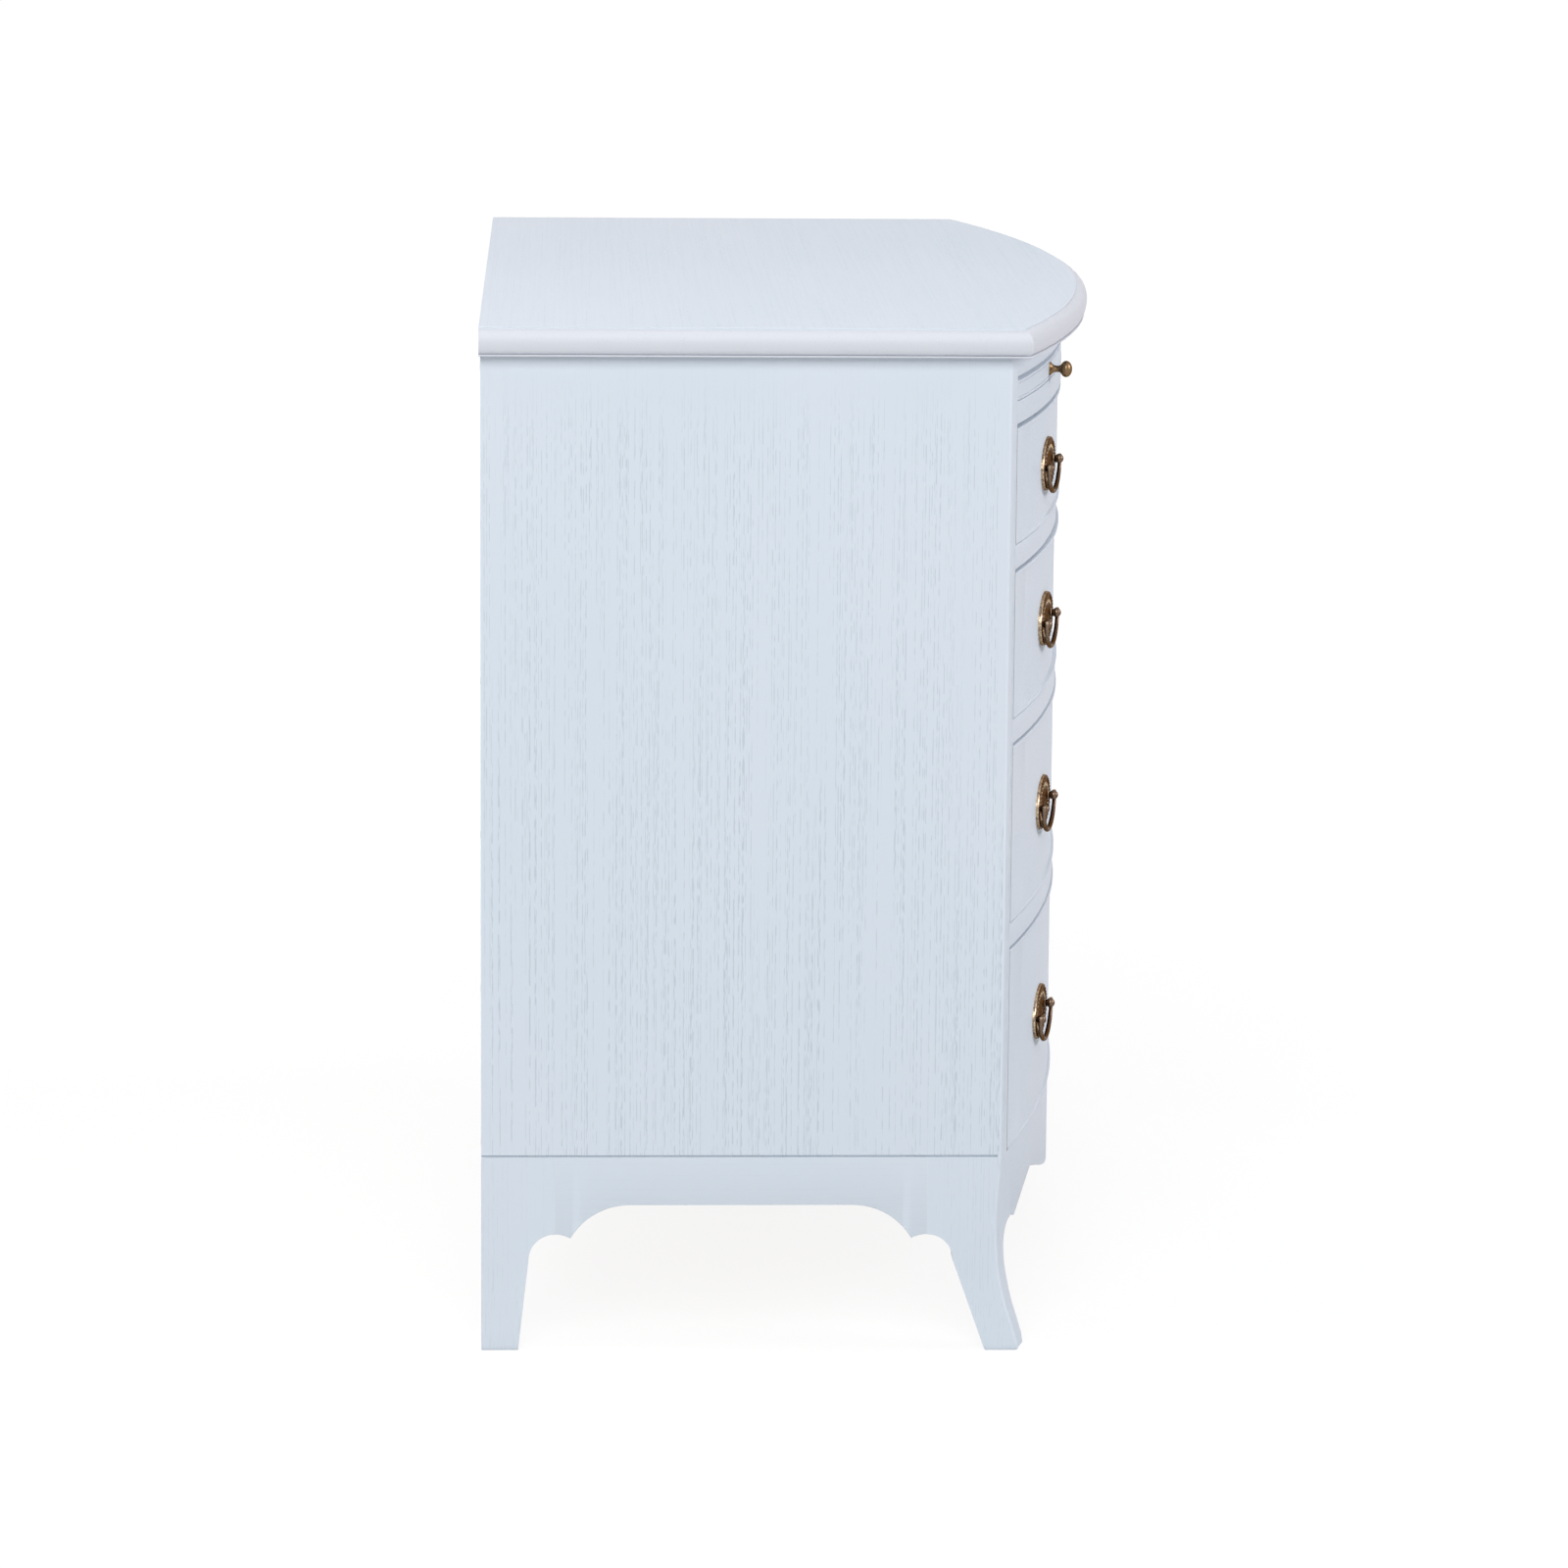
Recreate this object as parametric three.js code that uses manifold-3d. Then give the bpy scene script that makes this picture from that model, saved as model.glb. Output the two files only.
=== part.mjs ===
// Bow front chest of drawers with a pull-out slide.
// Units are millimetres. X runs along the front, the bowed front faces -Y, Z is up.
// The origin is on the floor, in the middle of the chest's footprint.

import * as THREE from 'three';
import { mergeVertices } from 'three/addons/utils/BufferGeometryUtils.js';
import Module from 'manifold-3d';

// Overall size
const WIDTH = 1067;
const DEPTH = 565;
const HEIGHT = 914.4;
const TOP_BOW = 85;
const CASE_BOW = 79;

// Top board and its moulded edge
const TOP_THICKNESS = 22;
const TOP_FILLET_HEIGHT = 2.7;
const TOP_FILLET_INSET = 5.4;
const TOP_UNDERCUT = 5.2;
const TOP_UNDERCUT_HEIGHT = 9.6;
const TOP_QUIRK = 1.5;
const TOP_QUIRK_INSET = 10;
const SIDE_OVERHANG = 12;
const FRONT_OVERHANG = 17.2;
const BACK_OVERHANG = 1.4;

// Carcase
const SIDE_THICKNESS = 22;
const BACK_THICKNESS = 8;
const BACK_LAP = 10;
const FRIEZE_HEIGHT = 19.7;
const SLIDE_OPENING = 22;
const SLIDE_RAIL_HEIGHT = 20;
const RAIL_HEIGHT = 21.4;
const RAIL_END_DEPTH = 62;
const DUST_BOARD_THICKNESS = 12;
const DADO_DEPTH = 6;
const BASE_HEIGHT = 176;
const BASE_GROOVE_HEIGHT = 2.6;
const BASE_GROOVE_DEPTH = 2.2;
const BASE_GROOVE_STOP = 3;

// Base: bottom board, aprons and splayed bracket feet
const BOTTOM_BOARD_THICKNESS = 15;
const FOOT_NECK = 42;
const FOOT_ARC = 65;
const CUSP = 79;
const ARCH_START = 132;
const FRONT_TOE_SPLAY = 17.4;
const SIDE_TOE_SPLAY = 5;
const BACK_TOE_SPLAY = 2;
const FRONT_TOE_LENGTH = 30;
const BACK_TOE_LENGTH = 32.6;
const FRONT_LEG_WIDTH = 24;
const FRONT_LEG_TOE_WIDTH = 24;
const FRONT_FOOT_ARC = 50;
const FRONT_CUSP = 71.5;
const FRONT_PEAK = 156.5;
const APRON_SETBACK = 2.5;
const VALANCE_START = 420;
const BACK_BRACKET_LENGTH = 100;

// Heights of the points on the base's sawn edges, as shares of the base's height
const FOOT_NECK_SHARE = 0.4659;
const FOOT_ARC_SHARE = 0.5994;
const CUSP_SHARE = 0.5784;
const ARCH_SHARE = 0.7517;
const FRONT_FOOT_ARC_SHARE = 0.6193;
const FRONT_CUSP_SHARE = 0.5955;
const FRONT_PEAK_SHARE = 0.7301;
const VALANCE_SHARE = 0.4545;
const BACK_BRACKET_SHARE = 0.7273;

// Drawers, from the top one down
const DRAWER_OPENING_SHARES = [0.1813, 0.2272, 0.2757, 0.3158];
const DRAWER_GAP = 1;
const DRAWER_TOP_GAP = 4.2;
const DRAWER_REVEAL = 1;
const DRAWER_RUNNING_GAP = 0.5;
const DRAWER_FRONT_THICKNESS = 20;
const DRAWER_LAP = 8;
const DRAWER_SIDE_THICKNESS = 12;
const DRAWER_SIDE_DROP = 2.8;
const DRAWER_BACK_GAP = 25;
const DRAWER_BOTTOM_THICKNESS = 6;
const DRAWER_BOTTOM_RAISE = 8;
const DRAWER_GROOVE = 6;

// Pull-out slide
const SLIDE_GAP = 0.6;
const SLIDE_TOP_GAP = 4;
const BEAD_SETBACK = 0.2;
const BEAD_WIDTH = 1.7;
const SLIDE_END_DEPTH = 330;

// Oval pulls with swinging bails
const PULL_END_DISTANCE = 206;
const PULL_DROP = 1.2;
const PLATE_WIDTH = 92;
const PLATE_HEIGHT = 48;
const PLATE_RIM = 2.6;
const PLATE_FIELD = 1.4;
const POST_SPACING = 72;
const POST_BALL_RADIUS = 4.3;
const POST_NECK_RADIUS = 2.8;
const POST_COLLAR_RADIUS = 4.5;
const POST_COLLAR_HEIGHT = 0.5;
const POST_NECK_LENGTH = 0.3;
const BOLT_RADIUS = 2;
const BOLT_TAIL = 1.5;
const NUT_RADIUS = 5;
const NUT_THICKNESS = 3;
const BAIL_RADIUS = 2.25;
const BAIL_DROP = 26.5;
const BAIL_PIN_RADIUS = 1.3;
const BAIL_PIN_BITE = 4;

// Slide knobs
const KNOB_BASE_RADIUS = 6;
const KNOB_BASE_HEIGHT = 4;
const KNOB_NECK_RADIUS = 3;
const KNOB_HEAD_RADIUS = 7.5;
const KNOB_HEAD_LENGTH = 10;
const KNOB_REACH = 21;
const KNOB_STUD_RADIUS = 2;
const KNOB_STUD_LENGTH = 14;

// Clearance where curved or cut pieces meet, and how far a cutter passes the wood
const CLEARANCE = 0.3;
const OVERRUN = 20;

// Facet counts
const BOW_STEPS = 20;
const ARC_STEPS = 6;
const NOSE_STEPS = 4;
const PLATE_SIDES = 16;
const ROUND_SIDES = 8;
const BALL_STEPS = 3;
const BAIL_SIDES = 6;
const BAIL_STEPS = 14;

// Foot splay at each level: share of the base height, and share of the toe's splay there
const SPLAY_LEVEL_SHARES = [0, 0.054, 0.15, 0.28, 0.41, 0.65, 0.74, 0.85, 1];
const SPLAY_OUT_SHARES = [1, 0.91, 0.6, 0.2, -0.07, -0.2, -0.18, -0.09, 0];

// Bends of the front apron's edge, as shares of each curve's run and rise
const APRON_ARC_SHARES = [0.45, 0.62];
const OGEE_START_SHARE = 0.25;
const OGEE_END_SHARE = 0.65;

// Finishes
const PAINTED_OAK = new THREE.MeshStandardMaterial({ color: 0xd4dde4, roughness: 0.55, metalness: 0 });
const RAW_WOOD = new THREE.MeshStandardMaterial({ color: 0xc9ab7e, roughness: 0.7, metalness: 0 });
const PLYWOOD = new THREE.MeshStandardMaterial({ color: 0xb99a6c, roughness: 0.75, metalness: 0 });
const ANTIQUE_BRASS = new THREE.MeshStandardMaterial({ color: 0x6b5236, roughness: 0.35, metalness: 1 });

// Places that follow from the sizes
const BACK_Y = DEPTH / 2;
const CASE_BACK_Y = BACK_Y - BACK_OVERHANG;
const BACK_PANEL_Y = CASE_BACK_Y - BACK_THICKNESS;
const CASE_HALF = WIDTH / 2 - SIDE_OVERHANG;
const INNER_HALF = CASE_HALF - SIDE_THICKNESS;
const TOP_CORNER_Y = TOP_BOW - DEPTH / 2;
const TOP_UNDERSIDE = HEIGHT - TOP_THICKNESS - TOP_FILLET_HEIGHT;
const DRAWER_INSET = DRAWER_REVEAL;

// The top and the case below it each follow a round arc of their own
function bowCurve(half, bow, cornerY) {
  const radius = (half ** 2 + bow ** 2) / (2 * bow);
  return { radius, centreY: cornerY - bow + radius };
}

const TOP_CURVE = bowCurve(WIDTH / 2, TOP_BOW, TOP_CORNER_Y);
const CASE_CURVE = bowCurve(CASE_HALF, CASE_BOW, TOP_CORNER_Y + FRONT_OVERHANG);

// Where a bowed face lies at x, a given distance behind its curve
function bowY(x, inset, curve = CASE_CURVE) {
  return curve.centreY - Math.sqrt((curve.radius - inset) ** 2 - x ** 2);
}

function bowPoints(fromX, toX, inset, steps = BOW_STEPS, curve = CASE_CURVE) {
  const points = [];
  for (let i = 0; i <= steps; i += 1) {
    const x = fromX + (toX - fromX) * i / steps;
    points.push(new THREE.Vector2(x, bowY(x, inset, curve)));
  }
  return points;
}

// Solids from outlines
const wasm = await Module();
wasm.setup();

function toSolid(geometry) {
  const bare = geometry.clone();
  bare.deleteAttribute('normal');
  bare.deleteAttribute('uv');
  const merged = mergeVertices(bare);
  const vertProperties = Float32Array.from(merged.attributes.position.array);
  const triVerts = Uint32Array.from(merged.index.array);
  return new wasm.Manifold(new wasm.Mesh({ numProp: 3, vertProperties, triVerts }));
}

function toGeometry(solid) {
  const { vertProperties, triVerts } = solid.getMesh();
  const geometry = new THREE.BufferGeometry();
  geometry.setAttribute('position', new THREE.BufferAttribute(vertProperties, 3));
  geometry.setIndex(new THREE.BufferAttribute(triVerts, 1));
  const faceted = geometry.toNonIndexed();
  faceted.computeVertexNormals();
  return faceted;
}

function cut(geometry, tools) {
  const solid = tools.reduce((left, tool) => left.subtract(toSolid(tool)), toSolid(geometry));
  return toGeometry(solid);
}

function join(geometry, pieces) {
  const solid = pieces.reduce((whole, piece) => whole.add(toSolid(piece)), toSolid(geometry));
  return toGeometry(solid);
}

// A plan outline (x, y) carried up from one height to another. The two levels are set
// rather than added up, so that pieces that meet there share the very same number
function upright(points, low, high) {
  const geometry = new THREE.ExtrudeGeometry(new THREE.Shape(points), { depth: 1, bevelEnabled: false });
  const position = geometry.attributes.position;
  for (let i = 0; i < position.count; i += 1) {
    position.setZ(i, position.getZ(i) > 0 ? high : low);
  }
  return geometry;
}

// A side outline (y, z) carried along X
function sideways(points, fromX, toX) {
  const axes = new THREE.Matrix4().makeBasis(
    new THREE.Vector3(0, 1, 0),
    new THREE.Vector3(0, 0, 1),
    new THREE.Vector3(1, 0, 0),
  );
  return upright(points, fromX, toX).applyMatrix4(axes);
}

// A front outline (x, z) carried along Y
function backwards(points, fromY, toY) {
  return upright(points, -toY, -fromY).rotateX(Math.PI / 2);
}

function plan(pairs) {
  return pairs.map(([x, y]) => new THREE.Vector2(x, y));
}

function block(lowX, highX, lowY, highY, lowZ, highZ) {
  return upright(plan([[lowX, lowY], [highX, lowY], [highX, highY], [lowX, highY]]), lowZ, highZ);
}

// A solid whose plan changes with height: rings of points, each at its own level
function stack(rings) {
  const count = rings[0].points.length;
  const positions = [];
  const index = [];
  for (const ring of rings) {
    for (const point of ring.points) {
      positions.push(point.x, point.y, ring.z);
    }
  }
  for (let level = 0; level < rings.length - 1; level += 1) {
    for (let i = 0; i < count; i += 1) {
      const a = level * count + i;
      const b = level * count + (i + 1) % count;
      index.push(a, b, b + count);
      index.push(a, b + count, a + count);
    }
  }
  const last = (rings.length - 1) * count;
  for (const [a, b, c] of THREE.ShapeUtils.triangulateShape(rings[0].points, [])) {
    index.push(a, c, b);
  }
  for (const [a, b, c] of THREE.ShapeUtils.triangulateShape(rings[rings.length - 1].points, [])) {
    index.push(last + a, last + b, last + c);
  }
  const geometry = new THREE.BufferGeometry();
  geometry.setAttribute('position', new THREE.Float32BufferAttribute(positions, 3));
  geometry.setIndex(index);
  const faceted = geometry.toNonIndexed();
  faceted.computeVertexNormals();
  return faceted;
}

// Points on an elliptical arc, angles in quarter turns
function arc(centreX, centreY, radiusX, radiusY, fromTurn, toTurn, steps = ARC_STEPS) {
  const points = [];
  for (let i = 0; i <= steps; i += 1) {
    const angle = (fromTurn + (toTurn - fromTurn) * i / steps) * Math.PI / 2;
    points.push(new THREE.Vector2(centreX + radiusX * Math.cos(angle), centreY + radiusY * Math.sin(angle)));
  }
  return points;
}

// Points on a round arc that starts level at its crown and falls away to an end point
function crownArc(crown, end, steps = ARC_STEPS) {
  const run = end.x - crown.x;
  const fall = crown.y - end.y;
  const radius = (run ** 2 + fall ** 2) / (2 * fall);
  const points = [];
  for (let i = 0; i <= steps; i += 1) {
    const x = run * i / steps;
    points.push(new THREE.Vector2(crown.x + x, crown.y - radius + Math.sqrt(radius ** 2 - x ** 2)));
  }
  return points;
}

function mirrorX(geometry) {
  return toGeometry(toSolid(geometry).mirror([1, 0, 0]));
}

// The chest
const chest = new THREE.Group();

function addPiece(parent, name, geometry, material) {
  const piece = new THREE.Mesh(geometry, material);
  piece.name = name;
  parent.add(piece);
  return piece;
}

function addPair(parent, name, rightGeometry, material) {
  addPiece(parent, `${name}_right`, rightGeometry, material);
  addPiece(parent, `${name}_left`, mirrorX(rightGeometry), material);
}

// Heights of the rails and openings, from the top down
const SLIDE_CEILING = TOP_UNDERSIDE - FRIEZE_HEIGHT;
const SLIDE_FLOOR = SLIDE_CEILING - SLIDE_OPENING;
const DRAWER_CEILING = SLIDE_FLOOR - SLIDE_RAIL_HEIGHT;
const RAIL_COUNT = DRAWER_OPENING_SHARES.length - 1;
const DRAWER_SPACE = DRAWER_CEILING - BASE_HEIGHT - RAIL_COUNT * RAIL_HEIGHT;
const OPENINGS = [];
let ceiling = DRAWER_CEILING;
for (const share of DRAWER_OPENING_SHARES) {
  const floor = ceiling - share * DRAWER_SPACE;
  OPENINGS.push({ floor, ceiling });
  ceiling = floor - RAIL_HEIGHT;
}
OPENINGS[RAIL_COUNT].floor = BASE_HEIGHT;

// Top board: the moulded edge runs round the front and both ends, and the back is square
function topOutline(inset) {
  const half = WIDTH / 2 - inset;
  const front = bowPoints(-half, half, inset, BOW_STEPS, TOP_CURVE);
  return [...front, ...plan([[half, BACK_Y], [-half, BACK_Y]])];
}

function topBoard() {
  const underside = HEIGHT - TOP_THICKNESS;
  const noseHeight = underside + TOP_UNDERCUT_HEIGHT;
  const quirkHeight = HEIGHT - TOP_QUIRK;
  const rings = [
    { z: TOP_UNDERSIDE, points: topOutline(TOP_FILLET_INSET) },
    { z: underside, points: topOutline(TOP_FILLET_INSET) },
  ];
  for (const point of arc(TOP_UNDERCUT, noseHeight, TOP_UNDERCUT, TOP_UNDERCUT_HEIGHT, 3, 2, NOSE_STEPS)) {
    rings.push({ z: point.y, points: topOutline(point.x) });
  }
  const upper = arc(TOP_QUIRK_INSET, noseHeight, TOP_QUIRK_INSET, quirkHeight - noseHeight, 2, 1, NOSE_STEPS);
  for (const point of upper.slice(1)) {
    rings.push({ z: point.y, points: topOutline(point.x) });
  }
  rings.push({ z: HEIGHT, points: topOutline(TOP_QUIRK_INSET) });
  return stack(rings);
}

addPiece(chest, 'top', topBoard(), PAINTED_OAK);

// Rails: curved to the bow in front, straight behind, set between the side panels
const RAIL_BACK_Y = bowY(INNER_HALF, 0) + RAIL_END_DEPTH;

function railPlan() {
  const front = bowPoints(-INNER_HALF, INNER_HALF, 0);
  return [...front, ...plan([[INNER_HALF, RAIL_BACK_Y], [-INNER_HALF, RAIL_BACK_Y]])];
}

const rails = [
  { name: 'frieze_rail', low: SLIDE_CEILING, high: TOP_UNDERSIDE },
  { name: 'rail_under_slide', low: DRAWER_CEILING, high: SLIDE_FLOOR },
];
for (let i = 0; i < RAIL_COUNT; i += 1) {
  rails.push({ name: `rail_${i + 1}`, low: OPENINGS[i + 1].ceiling, high: OPENINGS[i].floor });
}
for (const rail of rails) {
  addPiece(chest, rail.name, upright(railPlan(), rail.low, rail.high), PAINTED_OAK);
}

// Dust boards behind every rail but the frieze, housed in the side panels
const boards = rails.slice(1).map((rail, i) => ({
  name: i === 0 ? 'slide_bed' : `dust_board_${i}`,
  low: rail.high - DUST_BOARD_THICKNESS,
  high: rail.high,
}));
const BOARD_HALF = INNER_HALF + DADO_DEPTH;
for (const board of boards) {
  const shape = block(-BOARD_HALF, BOARD_HALF, RAIL_BACK_Y, BACK_PANEL_Y, board.low, board.high);
  addPiece(chest, board.name, shape, PLYWOOD);
}

// Side panels: rebated for the back, housed for the dust boards, grooved above the base
function sidePanel() {
  const lapX = CASE_HALF - SIDE_THICKNESS + BACK_LAP;
  const outline = plan([
    [CASE_HALF, CASE_BACK_Y],
    [lapX, CASE_BACK_Y],
    [lapX, BACK_PANEL_Y],
    [INNER_HALF, BACK_PANEL_Y],
    [INNER_HALF, bowY(INNER_HALF, 0)],
    [CASE_HALF, bowY(CASE_HALF, 0)],
  ]);
  const housings = boards.map((board) => block(
    INNER_HALF - OVERRUN,
    BOARD_HALF,
    RAIL_BACK_Y,
    BACK_PANEL_Y + OVERRUN,
    board.low,
    board.high,
  ));
  const groove = block(
    CASE_HALF - BASE_GROOVE_DEPTH,
    CASE_HALF + OVERRUN,
    bowY(CASE_HALF, 0) + BASE_GROOVE_STOP,
    CASE_BACK_Y + OVERRUN,
    BASE_HEIGHT - OVERRUN,
    BASE_HEIGHT + BASE_GROOVE_HEIGHT,
  );
  return cut(upright(outline, BASE_HEIGHT, TOP_UNDERSIDE), [...housings, groove]);
}

addPair(chest, 'side_panel', sidePanel(), PAINTED_OAK);

const BACK_HALF = INNER_HALF + BACK_LAP;
const backPanel = block(-BACK_HALF, BACK_HALF, BACK_PANEL_Y, CASE_BACK_Y, BASE_HEIGHT, TOP_UNDERSIDE);
addPiece(chest, 'back_panel', backPanel, PLYWOOD);

// Base: the bottom board lies between the side aprons and behind the front apron
const BOTTOM_BOARD_LOW = BASE_HEIGHT - BOTTOM_BOARD_THICKNESS;
const APRON_BACK_INSET = SIDE_THICKNESS;

function bottomBoard() {
  const front = bowPoints(-INNER_HALF, INNER_HALF, APRON_BACK_INSET + CLEARANCE);
  const outline = [...front, ...plan([[INNER_HALF, CASE_BACK_Y], [-INNER_HALF, CASE_BACK_Y]])];
  return upright(outline, BOTTOM_BOARD_LOW, BASE_HEIGHT);
}

addPiece(chest, 'bottom_board', bottomBoard(), PLYWOOD);

// Small arc that opens out from the leg of a bracket foot, as a distance from the corner
// of the case and a height
function footArc(neck, neckHeight, top, topHeight) {
  return arc(top, neckHeight, neck - top, topHeight - neckHeight, 0, 1);
}

const FRONT_CORNER_Y = bowY(CASE_HALF, 0);
const FOOT_NECK_HEIGHT = FOOT_NECK_SHARE * BASE_HEIGHT;
const FOOT_ARC_HEIGHT = FOOT_ARC_SHARE * BASE_HEIGHT;
const CUSP_HEIGHT = CUSP_SHARE * BASE_HEIGHT;
const ARCH_HEIGHT = ARCH_SHARE * BASE_HEIGHT;
const FRONT_FOOT_ARC_HEIGHT = FRONT_FOOT_ARC_SHARE * BASE_HEIGHT;
const FRONT_CUSP_HEIGHT = FRONT_CUSP_SHARE * BASE_HEIGHT;
const FRONT_PEAK_HEIGHT = FRONT_PEAK_SHARE * BASE_HEIGHT;
const VALANCE_HEIGHT = VALANCE_SHARE * BASE_HEIGHT;
const BACK_BRACKET_RISE = BACK_BRACKET_SHARE * BASE_HEIGHT;
const FRONT_JOINT_Y = FRONT_CORNER_Y + FOOT_ARC;
const BACK_JOINT_Y = CASE_BACK_Y - FOOT_ARC;
const FRONT_JOINT_X = CASE_HALF - FRONT_FOOT_ARC;

function sideApron() {
  const cusp = new THREE.Vector2(CUSP, CUSP_HEIGHT);
  const joint = new THREE.Vector2(FOOT_ARC, FOOT_ARC_HEIGHT);
  const start = new THREE.Vector2(ARCH_START, ARCH_HEIGHT);
  const edge = [...crownArc(joint, cusp), ...crownArc(start, cusp).reverse().slice(1)];
  const fromFront = edge.map((point) => [FRONT_CORNER_Y + point.x, point.y]);
  const fromBack = edge.map((point) => [CASE_BACK_Y - point.x, point.y]).reverse();
  const outline = plan([
    ...fromFront,
    ...fromBack,
    [BACK_JOINT_Y, BASE_HEIGHT],
    [FRONT_JOINT_Y, BASE_HEIGHT],
  ]);
  return sideways(outline, INNER_HALF, CASE_HALF);
}

addPair(chest, 'side_apron', sideApron(), PAINTED_OAK);

// Front apron: bent to the bow, with a valance that hangs lower in the middle
function frontApron() {
  const band = [
    ...bowPoints(-FRONT_JOINT_X, FRONT_JOINT_X, APRON_SETBACK),
    ...bowPoints(-FRONT_JOINT_X, FRONT_JOINT_X, APRON_BACK_INSET).reverse(),
  ];
  const joint = new THREE.Vector2(FRONT_FOOT_ARC, FRONT_FOOT_ARC_HEIGHT);
  const cusp = new THREE.Vector2(FRONT_CUSP, FRONT_CUSP_HEIGHT);
  const peak = new THREE.Vector2(FRONT_PEAK, FRONT_PEAK_HEIGHT);
  const middle = new THREE.Vector2(VALANCE_START, VALANCE_HEIGHT);
  const [bendX, bendZ] = APRON_ARC_SHARES;
  const rise = new THREE.QuadraticBezierCurve(
    cusp,
    new THREE.Vector2(cusp.x + bendX * (peak.x - cusp.x), cusp.y + bendZ * (peak.y - cusp.y)),
    peak,
  );
  const ogee = new THREE.CubicBezierCurve(
    peak,
    peak.clone().lerp(middle, OGEE_START_SHARE),
    new THREE.Vector2(peak.x + OGEE_END_SHARE * (middle.x - peak.x), middle.y),
    middle,
  );
  const edge = [
    ...crownArc(joint, cusp),
    ...rise.getPoints(ARC_STEPS).slice(1),
    ...ogee.getPoints(ARC_STEPS * 2).slice(1),
  ];
  const fromLeft = edge.map((point) => [point.x - CASE_HALF, point.y]);
  const fromRight = edge.map((point) => [CASE_HALF - point.x, point.y]).reverse();
  const below = plan([
    [-FRONT_JOINT_X - OVERRUN, -OVERRUN],
    [-FRONT_JOINT_X - OVERRUN, FRONT_FOOT_ARC_HEIGHT],
    ...fromLeft,
    ...fromRight,
    [FRONT_JOINT_X + OVERRUN, FRONT_FOOT_ARC_HEIGHT],
    [FRONT_JOINT_X + OVERRUN, -OVERRUN],
  ]);
  const cutter = backwards(below, -DEPTH, 0);
  return cut(upright(band, 0, BASE_HEIGHT), [cutter]);
}

addPiece(chest, 'front_apron', frontApron(), PAINTED_OAK);

// Feet: an angle of two boards that sweeps outwards to the toe. The front draws in a
// little at the ankle, where the inner faces stay straight
function splayedRings(sideSplay, outlineAt) {
  return SPLAY_LEVEL_SHARES.map((level, i) => {
    const z = level * BASE_HEIGHT;
    const out = SPLAY_OUT_SHARES[i];
    const spread = Math.max(out, 0);
    const frontY = out * FRONT_TOE_SPLAY;
    const seatY = z < FRONT_FOOT_ARC_HEIGHT ? frontY : -APRON_SETBACK;
    const innerY = spread * FRONT_TOE_SPLAY;
    return { z, points: outlineAt({ sideX: spread * sideSplay, frontY, seatY, innerY }) };
  });
}

function frontFoot() {
  const rings = splayedRings(SIDE_TOE_SPLAY, ({ sideX, frontY, seatY, innerY }) => plan([
    [FRONT_JOINT_X, bowY(FRONT_JOINT_X, 0) - seatY],
    [INNER_HALF, bowY(INNER_HALF, 0) - frontY],
    [CASE_HALF + sideX, FRONT_CORNER_Y - frontY],
    [CASE_HALF + sideX, FRONT_JOINT_Y],
    [INNER_HALF + sideX, FRONT_JOINT_Y],
    [INNER_HALF + sideX, bowY(INNER_HALF, APRON_BACK_INSET) - innerY],
    [FRONT_JOINT_X, bowY(FRONT_JOINT_X, APRON_BACK_INSET) - innerY],
  ]));
  const toeY = FRONT_CORNER_Y - FRONT_TOE_SPLAY + FRONT_TOE_LENGTH;
  const sideArc = footArc(FOOT_NECK, FOOT_NECK_HEIGHT, FOOT_ARC, FOOT_ARC_HEIGHT);
  const sideCutter = sideways(plan([
    [toeY, 0],
    ...sideArc.map((point) => [FRONT_CORNER_Y + point.x, point.y]),
    [FRONT_JOINT_Y + OVERRUN, FOOT_ARC_HEIGHT],
    [FRONT_JOINT_Y + OVERRUN, -OVERRUN],
    [toeY, -OVERRUN],
  ]), FRONT_JOINT_X, CASE_HALF + OVERRUN);
  const toeX = CASE_HALF + SIDE_TOE_SPLAY - FRONT_LEG_TOE_WIDTH;
  const frontArc = footArc(FRONT_LEG_WIDTH, FOOT_NECK_HEIGHT, FRONT_FOOT_ARC, FRONT_FOOT_ARC_HEIGHT);
  const frontCutter = backwards(plan([
    [toeX, -OVERRUN],
    [toeX, 0],
    ...frontArc.map((point) => [CASE_HALF - point.x, point.y]),
    [FRONT_JOINT_X - OVERRUN, FRONT_FOOT_ARC_HEIGHT],
    [FRONT_JOINT_X - OVERRUN, -OVERRUN],
  ]).reverse(), -DEPTH, FRONT_JOINT_Y);
  return cut(stack(rings), [sideCutter, frontCutter]);
}

addPair(chest, 'front_foot', frontFoot(), PAINTED_OAK);

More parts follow.
